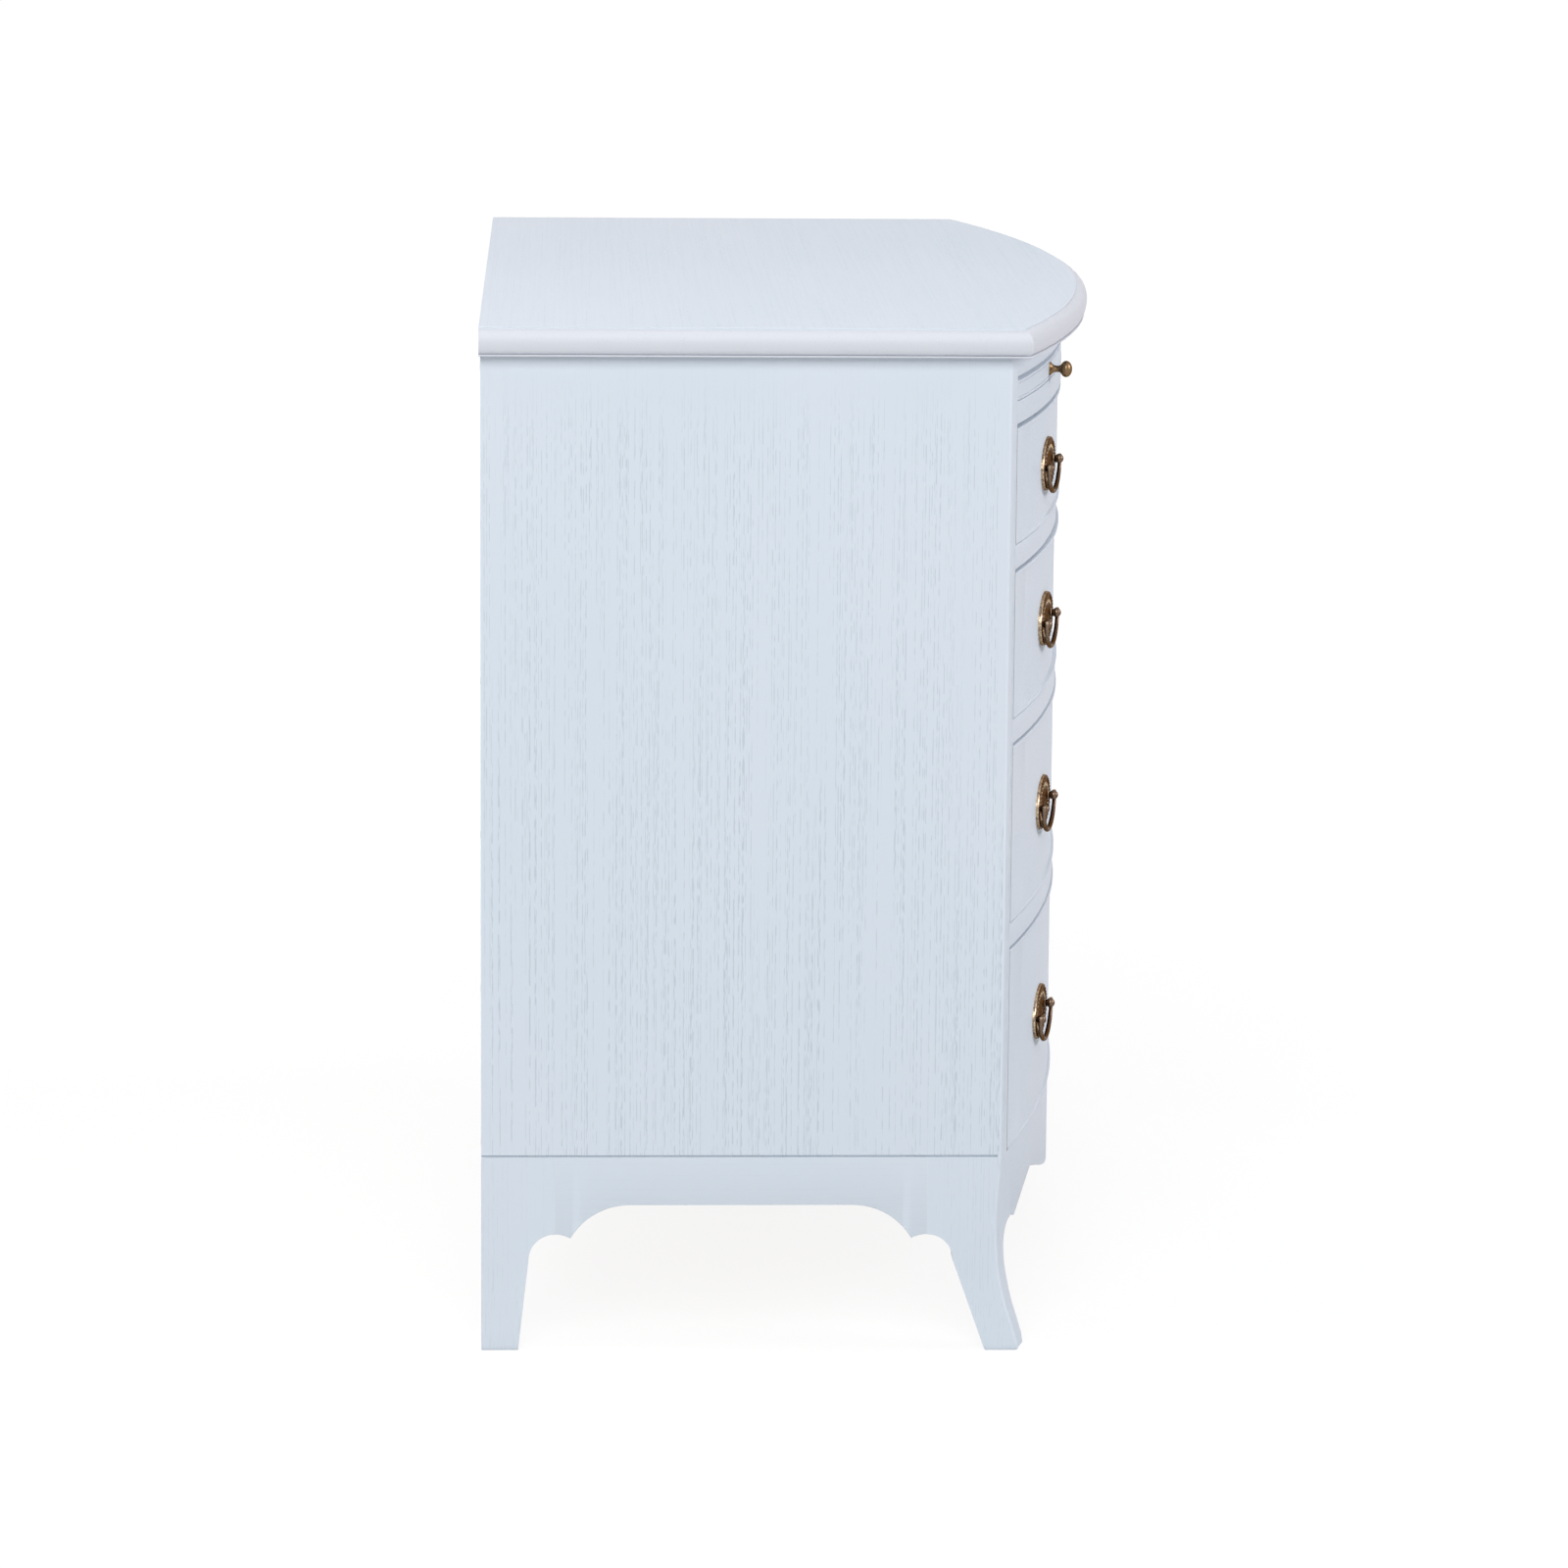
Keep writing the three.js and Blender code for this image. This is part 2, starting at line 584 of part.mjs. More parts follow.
function backFoot() {
  const wingX = INNER_HALF - BACK_BRACKET_LENGTH;
  const wingY = CASE_BACK_Y - SIDE_THICKNESS;
  const rings = splayedRings(BACK_TOE_SPLAY, ({ sideX }) => plan([
    [wingX, wingY],
    [INNER_HALF + sideX, wingY],
    [INNER_HALF + sideX, BACK_JOINT_Y],
    [CASE_HALF + sideX, BACK_JOINT_Y],
    [CASE_HALF + sideX, CASE_BACK_Y],
    [wingX, CASE_BACK_Y],
  ]));
  const sideArc = footArc(FOOT_NECK, FOOT_NECK_HEIGHT, FOOT_ARC, FOOT_ARC_HEIGHT);
  const sideCutter = sideways(plan([
    [CASE_BACK_Y - BACK_TOE_LENGTH, -OVERRUN],
    [CASE_BACK_Y - BACK_TOE_LENGTH, 0],
    ...sideArc.map((point) => [CASE_BACK_Y - point.x, point.y]),
    [BACK_JOINT_Y - OVERRUN, FOOT_ARC_HEIGHT],
    [BACK_JOINT_Y - OVERRUN, -OVERRUN],
  ]).reverse(), INNER_HALF - OVERRUN, CASE_HALF + OVERRUN);
  const legX = CASE_HALF - FOOT_NECK;
  const wingArc = arc(wingX, FOOT_NECK_HEIGHT, legX - wingX, BACK_BRACKET_RISE - FOOT_NECK_HEIGHT, 0, 1);
  const backCutter = backwards(plan([
    [CASE_HALF + BACK_TOE_SPLAY - BACK_TOE_LENGTH, -OVERRUN],
    [CASE_HALF + BACK_TOE_SPLAY - BACK_TOE_LENGTH, 0],
    ...wingArc.map((point) => [point.x, point.y]),
    [wingX - OVERRUN, BACK_BRACKET_RISE],
    [wingX - OVERRUN, -OVERRUN],
  ]), BACK_JOINT_Y - OVERRUN, CASE_BACK_Y + OVERRUN);
  const boardSeat = block(wingX - OVERRUN, INNER_HALF, wingY - OVERRUN, CASE_BACK_Y + OVERRUN,
    BOTTOM_BOARD_LOW, BASE_HEIGHT + OVERRUN);
  return cut(stack(rings), [sideCutter, backCutter, boardSeat]);
}

addPair(chest, 'back_foot', backFoot(), PAINTED_OAK);

// Fittings stand square to the bowed face at the pull's distance from the end
const PULL_X = WIDTH / 2 - PULL_END_DISTANCE;

function faceMount(side, inset, z) {
  const mount = new THREE.Group();
  mount.position.set(side * PULL_X, bowY(PULL_X, inset), z);
  mount.rotation.z = side * Math.asin(PULL_X / (CASE_CURVE.radius - inset));
  mount.updateMatrix();
  return mount;
}

// A round hole from the face of the wood inwards, at a mount and a distance along it
function faceHole(mount, along, radius, depth) {
  const hole = new THREE.CylinderGeometry(radius, radius, depth + OVERRUN, ROUND_SIDES);
  hole.translate(along, (depth - OVERRUN) / 2, 0);
  return hole.applyMatrix4(mount.matrix);
}

const SIDES = [{ name: 'right', sign: 1 }, { name: 'left', sign: -1 }];
const HOLE_RADIUS = (BOLT_RADIUS + CLEARANCE) / Math.cos(Math.PI / ROUND_SIDES);

// Drawers
const DRAWER_HALF = INNER_HALF - DRAWER_GAP;
const DRAWER_INNER_HALF = DRAWER_HALF - DRAWER_SIDE_THICKNESS;
const DRAWER_BACK_Y = BACK_PANEL_Y - DRAWER_BACK_GAP;
const FRONT_BACK_INSET = DRAWER_INSET + DRAWER_FRONT_THICKNESS;
const LAP_INSET = DRAWER_INSET + DRAWER_LAP;
const GROOVE_INSET = FRONT_BACK_INSET - DRAWER_GROOVE;

function drawerFrontPlan() {
  const shoulder = DRAWER_INNER_HALF - CLEARANCE;
  return [
    ...bowPoints(-DRAWER_HALF, DRAWER_HALF, DRAWER_INSET),
    ...bowPoints(DRAWER_HALF, shoulder, LAP_INSET, 1),
    ...bowPoints(shoulder, -shoulder, FRONT_BACK_INSET),
    ...bowPoints(-shoulder, -DRAWER_HALF, LAP_INSET, 1),
  ];
}

function drawerBottomPlan(inset, half, backY) {
  return [...bowPoints(-half, half, inset), ...plan([[half, backY], [-half, backY]])];
}

// Oval plate with two ball-headed posts, their bolts and the nuts inside the drawer
const POST_HALF = POST_SPACING / 2;
const COLLAR_TOP = CLEARANCE + PLATE_FIELD + POST_COLLAR_HEIGHT;
const NECK_TOP = COLLAR_TOP + POST_COLLAR_HEIGHT + POST_NECK_LENGTH;
const POST_REACH = NECK_TOP + Math.sqrt(POST_BALL_RADIUS ** 2 - POST_NECK_RADIUS ** 2);
const EYE_X = POST_HALF + POST_BALL_RADIUS + CLEARANCE + BAIL_RADIUS;
const PIN_TIP_X = POST_HALF + POST_BALL_RADIUS - BAIL_PIN_BITE;

function postProfile() {
  const wallBack = DRAWER_FRONT_THICKNESS + POST_HALF ** 2 / (2 * CASE_CURVE.radius) + CLEARANCE * 2;
  const tail = -wallBack - NUT_THICKNESS - BOLT_TAIL;
  const seat = CLEARANCE + PLATE_FIELD / 2;
  const neckTurn = Math.asin(POST_NECK_RADIUS / POST_BALL_RADIUS) / (Math.PI / 2);
  const profile = plan([
    [0, tail],
    [BOLT_RADIUS, tail],
    [BOLT_RADIUS, -wallBack - NUT_THICKNESS],
    [NUT_RADIUS, -wallBack - NUT_THICKNESS],
    [NUT_RADIUS, -wallBack],
    [BOLT_RADIUS, -wallBack],
    [BOLT_RADIUS, seat],
    [POST_COLLAR_RADIUS, seat],
    [POST_COLLAR_RADIUS, COLLAR_TOP],
    [POST_NECK_RADIUS, COLLAR_TOP + POST_COLLAR_HEIGHT],
  ]);
  const ball = arc(0, POST_REACH, POST_BALL_RADIUS, POST_BALL_RADIUS, neckTurn - 1, 1, BALL_STEPS);
  ball[BALL_STEPS].x = 0;
  return [...profile, ...ball];
}

function plateRing(share, z) {
  return { z, points: arc(0, 0, PLATE_WIDTH / 2 * share, PLATE_HEIGHT / 2 * share, 0, 4, PLATE_SIDES).slice(1) };
}

function pullPlate() {
  const RIM_SHARES = [1, 0.975, 0.92, 0.88];
  const edge = (PLATE_FIELD + PLATE_RIM) / 2;
  const plate = stack([
    plateRing(RIM_SHARES[0], CLEARANCE),
    plateRing(RIM_SHARES[0], CLEARANCE + edge),
    plateRing(RIM_SHARES[1], CLEARANCE + PLATE_RIM),
    plateRing(RIM_SHARES[2], CLEARANCE + PLATE_RIM),
    plateRing(RIM_SHARES[3], CLEARANCE + PLATE_FIELD),
  ]).rotateX(Math.PI / 2);
  const posts = [1, -1].map((sign) => new THREE.LatheGeometry(postProfile(), ROUND_SIDES)
    .rotateX(Math.PI)
    .translate(sign * POST_HALF, 0, 0));
  const holeRadius = (BAIL_PIN_RADIUS + CLEARANCE) / Math.cos(Math.PI / ROUND_SIDES);
  const holeLength = BAIL_PIN_BITE + CLEARANCE + OVERRUN;
  const holes = [1, -1].map((sign) => new THREE.CylinderGeometry(holeRadius, holeRadius, holeLength, ROUND_SIDES)
    .rotateZ(Math.PI / 2)
    .translate(sign * (PIN_TIP_X - CLEARANCE + holeLength / 2), -POST_REACH, 0));
  return cut(join(plate, posts), holes);
}

// Bail: a half-oval bar whose ends turn in as pins and swing in the post heads
function pullBail() {
  const centreDrop = BAIL_DROP - BAIL_RADIUS;
  const lobe = arc(0, 0, EYE_X, centreDrop, 4, 2, BAIL_STEPS);
  const points = [
    new THREE.Vector3(EYE_X, 0, BAIL_RADIUS),
    ...lobe.map((point) => new THREE.Vector3(point.x, 0, point.y)),
    new THREE.Vector3(-EYE_X, 0, BAIL_RADIUS),
  ];
  const path = new THREE.CatmullRomCurve3(points);
  const section = new THREE.Shape(arc(0, 0, BAIL_RADIUS, BAIL_RADIUS, 0, 4, BAIL_SIDES).slice(1));
  const bar = new THREE.ExtrudeGeometry(section, { extrudePath: path, steps: BAIL_STEPS, bevelEnabled: false });
  const pinLength = EYE_X - PIN_TIP_X;
  const pins = [1, -1].map((sign) => new THREE.CylinderGeometry(
    BAIL_PIN_RADIUS, BAIL_PIN_RADIUS, pinLength, ROUND_SIDES)
    .rotateZ(Math.PI / 2)
    .translate(sign * (PIN_TIP_X + pinLength / 2), 0, 0));
  return join(bar, pins);
}

function addDrawer(number, opening) {
  const name = `drawer_${number}`;
  const low = opening.floor + DRAWER_RUNNING_GAP;
  const high = opening.ceiling - DRAWER_TOP_GAP;
  const sideHigh = high - DRAWER_SIDE_DROP;
  const bottomLow = low + DRAWER_BOTTOM_RAISE;
  const bottomHigh = bottomLow + DRAWER_BOTTOM_THICKNESS;
  const grooveHalf = DRAWER_INNER_HALF + DRAWER_GROOVE;

  const pullZ = (low + high) / 2 - PULL_DROP;
  const mounts = SIDES.map((side) => ({ ...side, mount: faceMount(side.sign, DRAWER_INSET, pullZ) }));
  const boltHoles = [];
  for (const { mount } of mounts) {
    for (const along of [-POST_HALF, POST_HALF]) {
      boltHoles.push(faceHole(mount, along, HOLE_RADIUS, DRAWER_FRONT_THICKNESS + OVERRUN));
    }
  }
  const grooveBackY = bowY(DRAWER_INNER_HALF, FRONT_BACK_INSET) + OVERRUN;
  const frontGroove = upright(
    drawerBottomPlan(GROOVE_INSET, DRAWER_HALF + OVERRUN, grooveBackY), bottomLow, bottomHigh);
  const front = cut(upright(drawerFrontPlan(), low, high), [frontGroove, ...boltHoles]);
  addPiece(chest, `${name}_front`, front, PAINTED_OAK);

  const sideOutline = [
    ...bowPoints(DRAWER_INNER_HALF, DRAWER_HALF, LAP_INSET + CLEARANCE, 1),
    ...plan([[DRAWER_HALF, DRAWER_BACK_Y], [DRAWER_INNER_HALF, DRAWER_BACK_Y]]),
  ];
  const sideGroove = block(DRAWER_INNER_HALF - OVERRUN, grooveHalf, -DEPTH, DEPTH, bottomLow, bottomHigh);
  addPair(chest, `${name}_side`, cut(upright(sideOutline, low, sideHigh), [sideGroove]), RAW_WOOD);

  const back = block(-DRAWER_INNER_HALF, DRAWER_INNER_HALF, DRAWER_BACK_Y - DRAWER_SIDE_THICKNESS,
    DRAWER_BACK_Y, bottomHigh, sideHigh);
  addPiece(chest, `${name}_back`, back, RAW_WOOD);

  const bottomOutline = drawerBottomPlan(GROOVE_INSET + CLEARANCE, grooveHalf, DRAWER_BACK_Y);
  addPiece(chest, `${name}_bottom`, upright(bottomOutline, bottomLow, bottomHigh), PLYWOOD);

  for (const { name: side, mount } of mounts) {
    chest.add(mount);
    addPiece(mount, `${name}_plate_${side}`, pullPlate(), ANTIQUE_BRASS);
    addPiece(mount, `${name}_bail_${side}`, pullBail(), ANTIQUE_BRASS).position.y = -POST_REACH;
  }
}

OPENINGS.forEach((opening, i) => addDrawer(i + 1, opening));

// Pull-out slide with two turned knobs
function knobProfile() {
  const headStart = KNOB_REACH - KNOB_HEAD_LENGTH;
  const headMiddle = KNOB_REACH - KNOB_HEAD_LENGTH / 2;
  return [
    ...plan([
      [0, -KNOB_STUD_LENGTH],
      [KNOB_STUD_RADIUS, -KNOB_STUD_LENGTH],
      [KNOB_STUD_RADIUS, CLEARANCE],
      [KNOB_BASE_RADIUS, CLEARANCE],
      [KNOB_BASE_RADIUS, KNOB_BASE_HEIGHT / 2],
      [KNOB_NECK_RADIUS, KNOB_BASE_HEIGHT],
      [KNOB_NECK_RADIUS, headStart],
      [KNOB_HEAD_RADIUS, headMiddle],
    ]),
    ...arc(0, headMiddle, KNOB_HEAD_RADIUS, KNOB_REACH - headMiddle, 0, 1, BALL_STEPS).slice(1, -1),
    new THREE.Vector2(0, KNOB_REACH),
  ];
}

// What is cut away in front of the slide's field, inside its raised bead
function aboveField(low, high) {
  const half = DRAWER_HALF - BEAD_WIDTH;
  const outline = [...bowPoints(-half, half, -OVERRUN), ...bowPoints(half, -half, DRAWER_INSET)];
  return upright(outline, low + BEAD_WIDTH, high - BEAD_WIDTH);
}

function addSlide() {
  const low = SLIDE_FLOOR + SLIDE_GAP;
  const high = SLIDE_CEILING - SLIDE_TOP_GAP;
  const backY = bowY(DRAWER_HALF, DRAWER_INSET) + SLIDE_END_DEPTH;
  const outline = [
    ...bowPoints(-DRAWER_HALF, DRAWER_HALF, BEAD_SETBACK),
    ...plan([[DRAWER_HALF, backY], [-DRAWER_HALF, backY]]),
  ];
  const mounts = SIDES.map((side) => ({ ...side, mount: faceMount(side.sign, DRAWER_INSET, (low + high) / 2) }));
  const holeRadius = (KNOB_STUD_RADIUS + CLEARANCE) / Math.cos(Math.PI / ROUND_SIDES);
  const holes = mounts.map(({ mount }) => faceHole(mount, 0, holeRadius, KNOB_STUD_LENGTH + CLEARANCE));
  const board = cut(upright(outline, low, high), [aboveField(low, high), ...holes]);
  addPiece(chest, 'slide_board', board, PAINTED_OAK);
  for (const { name: side, mount } of mounts) {
    const knob = new THREE.LatheGeometry(knobProfile(), ROUND_SIDES).rotateX(Math.PI);
    chest.add(mount);
    addPiece(mount, `slide_knob_${side}`, toGeometry(toSolid(knob)), ANTIQUE_BRASS);
  }
}

addSlide();

export default chest;
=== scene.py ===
# %% [markdown]
# # A bow front chest of drawers
# The chest is an oak case under thin pale paint: four drawers and a pull-out slide
# behind a front that bows forwards, a moulded top, and bracket feet that sweep out at
# the toe. The fixed parts and the moving bodies come from the frame. This script gives
# each visible part its fine shape and its finish, and lights it like a studio picture.

import math

import bmesh
import bpy
from mathutils import Matrix, Vector


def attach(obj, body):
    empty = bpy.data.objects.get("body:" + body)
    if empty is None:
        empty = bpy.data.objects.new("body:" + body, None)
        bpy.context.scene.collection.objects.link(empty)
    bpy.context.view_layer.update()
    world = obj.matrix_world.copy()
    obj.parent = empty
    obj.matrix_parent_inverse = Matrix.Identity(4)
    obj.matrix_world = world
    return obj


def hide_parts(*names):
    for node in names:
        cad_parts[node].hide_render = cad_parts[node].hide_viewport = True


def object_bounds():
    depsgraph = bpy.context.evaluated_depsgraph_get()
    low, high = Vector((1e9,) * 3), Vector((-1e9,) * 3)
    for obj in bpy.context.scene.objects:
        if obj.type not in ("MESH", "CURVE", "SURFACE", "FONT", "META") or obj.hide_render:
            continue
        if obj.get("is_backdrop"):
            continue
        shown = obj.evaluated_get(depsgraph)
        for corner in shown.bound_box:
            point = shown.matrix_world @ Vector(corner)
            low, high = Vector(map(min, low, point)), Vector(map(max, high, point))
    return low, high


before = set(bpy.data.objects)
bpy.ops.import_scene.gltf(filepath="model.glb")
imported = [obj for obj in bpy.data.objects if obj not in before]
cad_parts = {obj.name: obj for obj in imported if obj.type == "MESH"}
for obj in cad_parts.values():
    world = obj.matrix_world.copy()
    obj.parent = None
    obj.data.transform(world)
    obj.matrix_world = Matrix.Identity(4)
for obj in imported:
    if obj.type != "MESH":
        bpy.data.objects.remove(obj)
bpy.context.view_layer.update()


def add_object(name, data):
    made = bpy.data.objects.new(name, data)
    bpy.context.scene.collection.objects.link(made)
    return made


# %% [markdown]
# ## The camera
# A camera is a place, a direction and a lens. The picture was taken from well to the
# left of the chest and a little above it, with a long lens, so the side shows almost
# square and the front runs away from the eye.

# %% Camera
CAMERA_PLACE = (-5.759, 0.2058, 1.4837)
CAMERA_TURN = (79.507, -0.440, -92.002)
CAMERA_LENS = 139.5

camera = add_object("camera", bpy.data.cameras.new("camera"))
camera.location = CAMERA_PLACE
camera.rotation_euler = [math.radians(angle) for angle in CAMERA_TURN]
camera.data.lens = CAMERA_LENS
bpy.context.scene.camera = camera
print("camera at", CAMERA_PLACE, "with a lens of", CAMERA_LENS, "mm")

# %% [markdown]
# ## Sizes
# A maker works from a rod: a board with the full-size lines on it. These values are
# that rod. Heights are measured from the floor, insets from the face of the case, and
# everything is in metres.

# %% Sizes of the case
MM = 0.001
QUARTER = math.pi / 2


def mm(*lengths):
    """Lengths in metres, from millimetres."""
    return tuple(length * MM for length in lengths)


WIDTH, DEPTH, HEIGHT = mm(1067, 565, 914.4)
TOP_BOW, CASE_BOW = mm(85, 79)
SIDE_OVERHANG, FRONT_OVERHANG, BACK_OVERHANG = mm(12, 17.2, 1.4)
SIDE_THICKNESS = 22 * MM
BACK_THICKNESS, BACK_LAP = mm(8, 10)
BASE_HEIGHT = 176 * MM
TOP_UNDERSIDE = HEIGHT - 24.7 * MM
SLIDE_CEILING = TOP_UNDERSIDE - 19.7 * MM
SLIDE_FLOOR = SLIDE_CEILING - 22 * MM
DRAWER_CEILING = SLIDE_FLOOR - 20 * MM
RAIL_HEIGHT = 21.4 * MM
RAIL_END_DEPTH = 62 * MM
DRAWER_SHARES = (0.1813, 0.2272, 0.2757, 0.3158)
DRAWER_GAP = 1 * MM
BOW_STEPS = 96

BACK_Y = DEPTH / 2
CASE_BACK_Y = BACK_Y - BACK_OVERHANG
CASE_HALF = WIDTH / 2 - SIDE_OVERHANG
INNER_HALF = CASE_HALF - SIDE_THICKNESS
DRAWER_HALF = INNER_HALF - DRAWER_GAP
TOP_CORNER_Y = TOP_BOW - DEPTH / 2

openings = []
ceiling = DRAWER_CEILING
drawer_space = DRAWER_CEILING - BASE_HEIGHT - (len(DRAWER_SHARES) - 1) * RAIL_HEIGHT
for share in DRAWER_SHARES:
    floor = ceiling - share * drawer_space
    openings.append((floor, ceiling))
    ceiling = floor - RAIL_HEIGHT
print("drawer openings:", [round(high - low, 4) for low, high in openings])

# %% [markdown]
# ## The bow
# The top and the case below it each follow a round arc of their own. From the chord
# and the rise of an arc its radius follows, and then the face at any x is one square
# root away. Moving a face back by an inset only makes the radius smaller.


# %% Bow helpers
def bow_curve(half, bow, corner_y):
    radius = (half**2 + bow**2) / (2 * bow)
    return radius, corner_y - bow + radius


TOP_CURVE = bow_curve(WIDTH / 2, TOP_BOW, TOP_CORNER_Y)
CASE_CURVE = bow_curve(CASE_HALF, CASE_BOW, TOP_CORNER_Y + FRONT_OVERHANG)


def bow_y(x, inset, curve=CASE_CURVE):
    radius, centre_y = curve
    return centre_y - math.sqrt((radius - inset) ** 2 - x * x)


def spread(low, high, steps):
    return [low + (high - low) * i / steps for i in range(steps + 1)]


def bow_line(low_x, high_x, inset, curve=CASE_CURVE, steps=BOW_STEPS):
    return [(x, bow_y(x, inset, curve)) for x in spread(low_x, high_x, steps)]


FRONT_CORNER_Y = bow_y(CASE_HALF, 0)
print("bow radii:", round(TOP_CURVE[0], 3), round(CASE_CURVE[0], 3))

# %% [markdown]
# ## Skins over rings
# Most boards here are a loop of points that changes as it moves along one direction:
# the plan of a rail from its lower edge to its upper one, or the section of an apron
# from end to end. A skin over such rings with a cap at each end is a closed solid. It
# needs no boolean, so its faces stay clean and its shading smooth.

# %% Mesh helpers
SAME_POINT, SHARP_ANGLE = 1e-6, 32


def skin(name, rings):
    count = len(rings[0])
    points = [point for ring in rings for point in ring]
    faces = []
    for level in range(len(rings) - 1):
        start = level * count
        for i in range(count):
            j = (i + 1) % count
            faces.append((start + i, start + j, start + count + j, start + count + i))
    faces.append(tuple(range(count)))
    faces.append(tuple(range(len(points) - count, len(points))))
    mesh = bpy.data.meshes.new(name)
    mesh.from_pydata(points, [], faces)
    tidy(mesh)
    return mesh


def tidy(mesh):
    work = bmesh.new()
    work.from_mesh(mesh)
    bmesh.ops.remove_doubles(work, verts=work.verts, dist=SAME_POINT)
    bmesh.ops.recalc_face_normals(work, faces=work.faces)
    work.to_mesh(mesh)
    work.free()


def at_height(points, z):
    return [(x, y, z) for x, y in points]


def mirrored(mesh, name):
    copy = mesh.copy()
    copy.name = name
    copy.transform(Matrix.Scale(-1, 4, (1, 0, 0)))
    tidy(copy)
    return copy


def smooth(mesh):
    mesh.polygons.foreach_set("use_smooth", [True] * len(mesh.polygons))
    mesh.set_sharp_from_angle(angle=math.radians(SHARP_ANGLE))


def place(mesh, name, body, material, stands_for):
    mesh.materials.clear()
    mesh.materials.append(material)
    smooth(mesh)
    piece = add_object(name, mesh)
    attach(piece, body)
    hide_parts(stands_for)


def place_pair(mesh, name, material, stands_for):
    """The right piece of the case, and its mirror image on the left."""
    for side, half in (("left", mirrored(mesh, name + "_left")), ("right", mesh)):
        place(half, f"{name}_{side}", "case", material, f"{stands_for}_{side}")


# %% [markdown]
# ## Building materials from nodes
# A procedural material is a small machine: coordinates go in, noise and masks shape
# them, and colour, roughness and bump come out. One helper makes a node, sets its
# inputs and wires it, whatever kind of tree it is in.

# %% Node helpers
def put(tree, kind, inputs=None, **settings):
    made = tree.nodes.new(kind)
    for name, value in settings.items():
        setattr(made, name, value)
    for name, value in (inputs or {}).items():
        if isinstance(value, bpy.types.NodeSocket):
            tree.links.new(value, made.inputs[name])
        else:
            made.inputs[name].default_value = value
    return made


def new_material(name):
    material = bpy.data.materials.new(name)
    material.use_nodes = True
    return material, material.node_tree, material.node_tree.nodes["Principled BSDF"]


def stretched(tree, axis, across, along, offset=0.0):
    """Object coordinates, so many noise cells in a metre across the grain and along it."""
    scale = [across] * 3
    scale["XYZ".index(axis)] = along
    source = put(tree, "ShaderNodeTexCoord")
    inputs = {"Vector": source.outputs["Object"], "Scale": scale, "Location": [offset] * 3}
    return put(tree, "ShaderNodeMapping", inputs).outputs["Vector"]


def noise(tree, vector, detail=2.0, roughness=0.5, distortion=0.0):
    inputs = {"Vector": vector, "Scale": 1.0, "Detail": detail}
    inputs |= {"Roughness": roughness, "Distortion": distortion}
    return put(tree, "ShaderNodeTexNoise", inputs).outputs[0]


def ramp(tree, value, low, high, to_low=0.0, to_high=1.0):
    """A smooth step from one value to another while the input goes from low to high."""
    inputs = {"Value": value, "From Min": low, "From Max": high}
    inputs |= {"To Min": to_low, "To Max": to_high}
    made = put(tree, "ShaderNodeMapRange", inputs, interpolation_type="SMOOTHSTEP")
    return made.outputs[0]


def maths(tree, operation, first, second=0.0, clamp=False):
    inputs = {0: first, 1: second}
    made = put(tree, "ShaderNodeMath", inputs, operation=operation, use_clamp=clamp)
    return made.outputs[0]


def mix_colour(tree, factor, first, second):
    inputs = {0: factor, 6: first, 7: second}
    return put(tree, "ShaderNodeMix", inputs, data_type="RGBA").outputs[2]


def paint_with(tree, shader, colour, roughness):
    tree.links.new(colour, shader.inputs["Base Color"])
    tree.links.new(roughness, shader.inputs["Roughness"])


def worn_edges(tree, radius, low, high):
    """1 where the surface turns a corner: a rounded copy of the normal differs there."""
    rounded = put(tree, "ShaderNodeBevel", {"Radius": radius}, samples=6)
    normal = put(tree, "ShaderNodeNewGeometry").outputs["Normal"]
    inputs = {0: rounded.outputs[0], 1: normal}
    same = put(tree, "ShaderNodeVectorMath", inputs, operation="DOT_PRODUCT")
    return ramp(tree, maths(tree, "SUBTRACT", 1.0, same.outputs["Value"]), low, high)


def press_in(tree, shader, height, strength, distance):
    """Bump from a height."""
    inputs = {"Height": height, "Strength": strength, "Distance": distance}
    bump = put(tree, "ShaderNodeBump", inputs)
    tree.links.new(bump.outputs["Normal"], shader.inputs["Normal"])


# %% [markdown]
# ## Painted oak
# Oak has open pores, cut lengthwise into short grooves. Thin paint bridges the wood
# but sinks into the pores, which stay as fine blue-grey dashes, straight and separate,
# close together in some bands and nearly absent between. Noise that is stretched far
# along the grain gives thin straight lines, a second noise breaks them into dashes, and
# a slow one sets how thick they are, band by band. The same mask presses them into the
# surface. At an arris the paint is thinner and a little lighter. The feet show fewer
# pores than the sides. The moulded edge of the top, below its flat, is painted greyer
# and less blue: that is painted shade, for how the light falls on the moulding.

# %% Painted oak
PAINT, PAINT_COOL = (0.710, 0.765, 0.838, 1), (0.684, 0.752, 0.830, 1)
PORE_COLOUR, EDGE_COLOUR = (0.430, 0.500, 0.565, 1), (0.780, 0.800, 0.832, 1)
# Painted shade: the greyer, less blue tone given to the moulded edge of the top, for how light
# falls on it.
NOSE_SHADE_COLOUR = (0.692, 0.710, 0.768, 1)
LINES_ACROSS, LINES_ALONG, DASHES_ALONG = 880, 1.5, 75
THINNEST, THICKEST = 0.02, 0.12
PAINT_EDGE, PAINT_EDGE_SHARE = 1.6 * MM, 0.4
PAINT_SHEEN, PORE_DEPTH = 0.28, 0.12 * MM
FEW_PORES_ABOVE = (0.80, 0.875)
NOSE_SHADE_LEVELS = (HEIGHT - 1.6 * MM, HEIGHT - 0.9 * MM)


def dashes(tree, axis, offset, thickness):
    """Fine straight lines along the axis, each broken into dashes."""
    lines = noise(tree, stretched(tree, axis, LINES_ACROSS, LINES_ALONG, offset), 0.0)
    cells = stretched(tree, axis, LINES_ACROSS * 0.9, DASHES_ALONG, offset + 5)
    lines = ramp(tree, maths(tree, "ADD", lines, thickness), 0.64, 0.72)
    return maths(tree, "MULTIPLY", lines, ramp(tree, noise(tree, cells, 1.0), 0.46, 0.54))


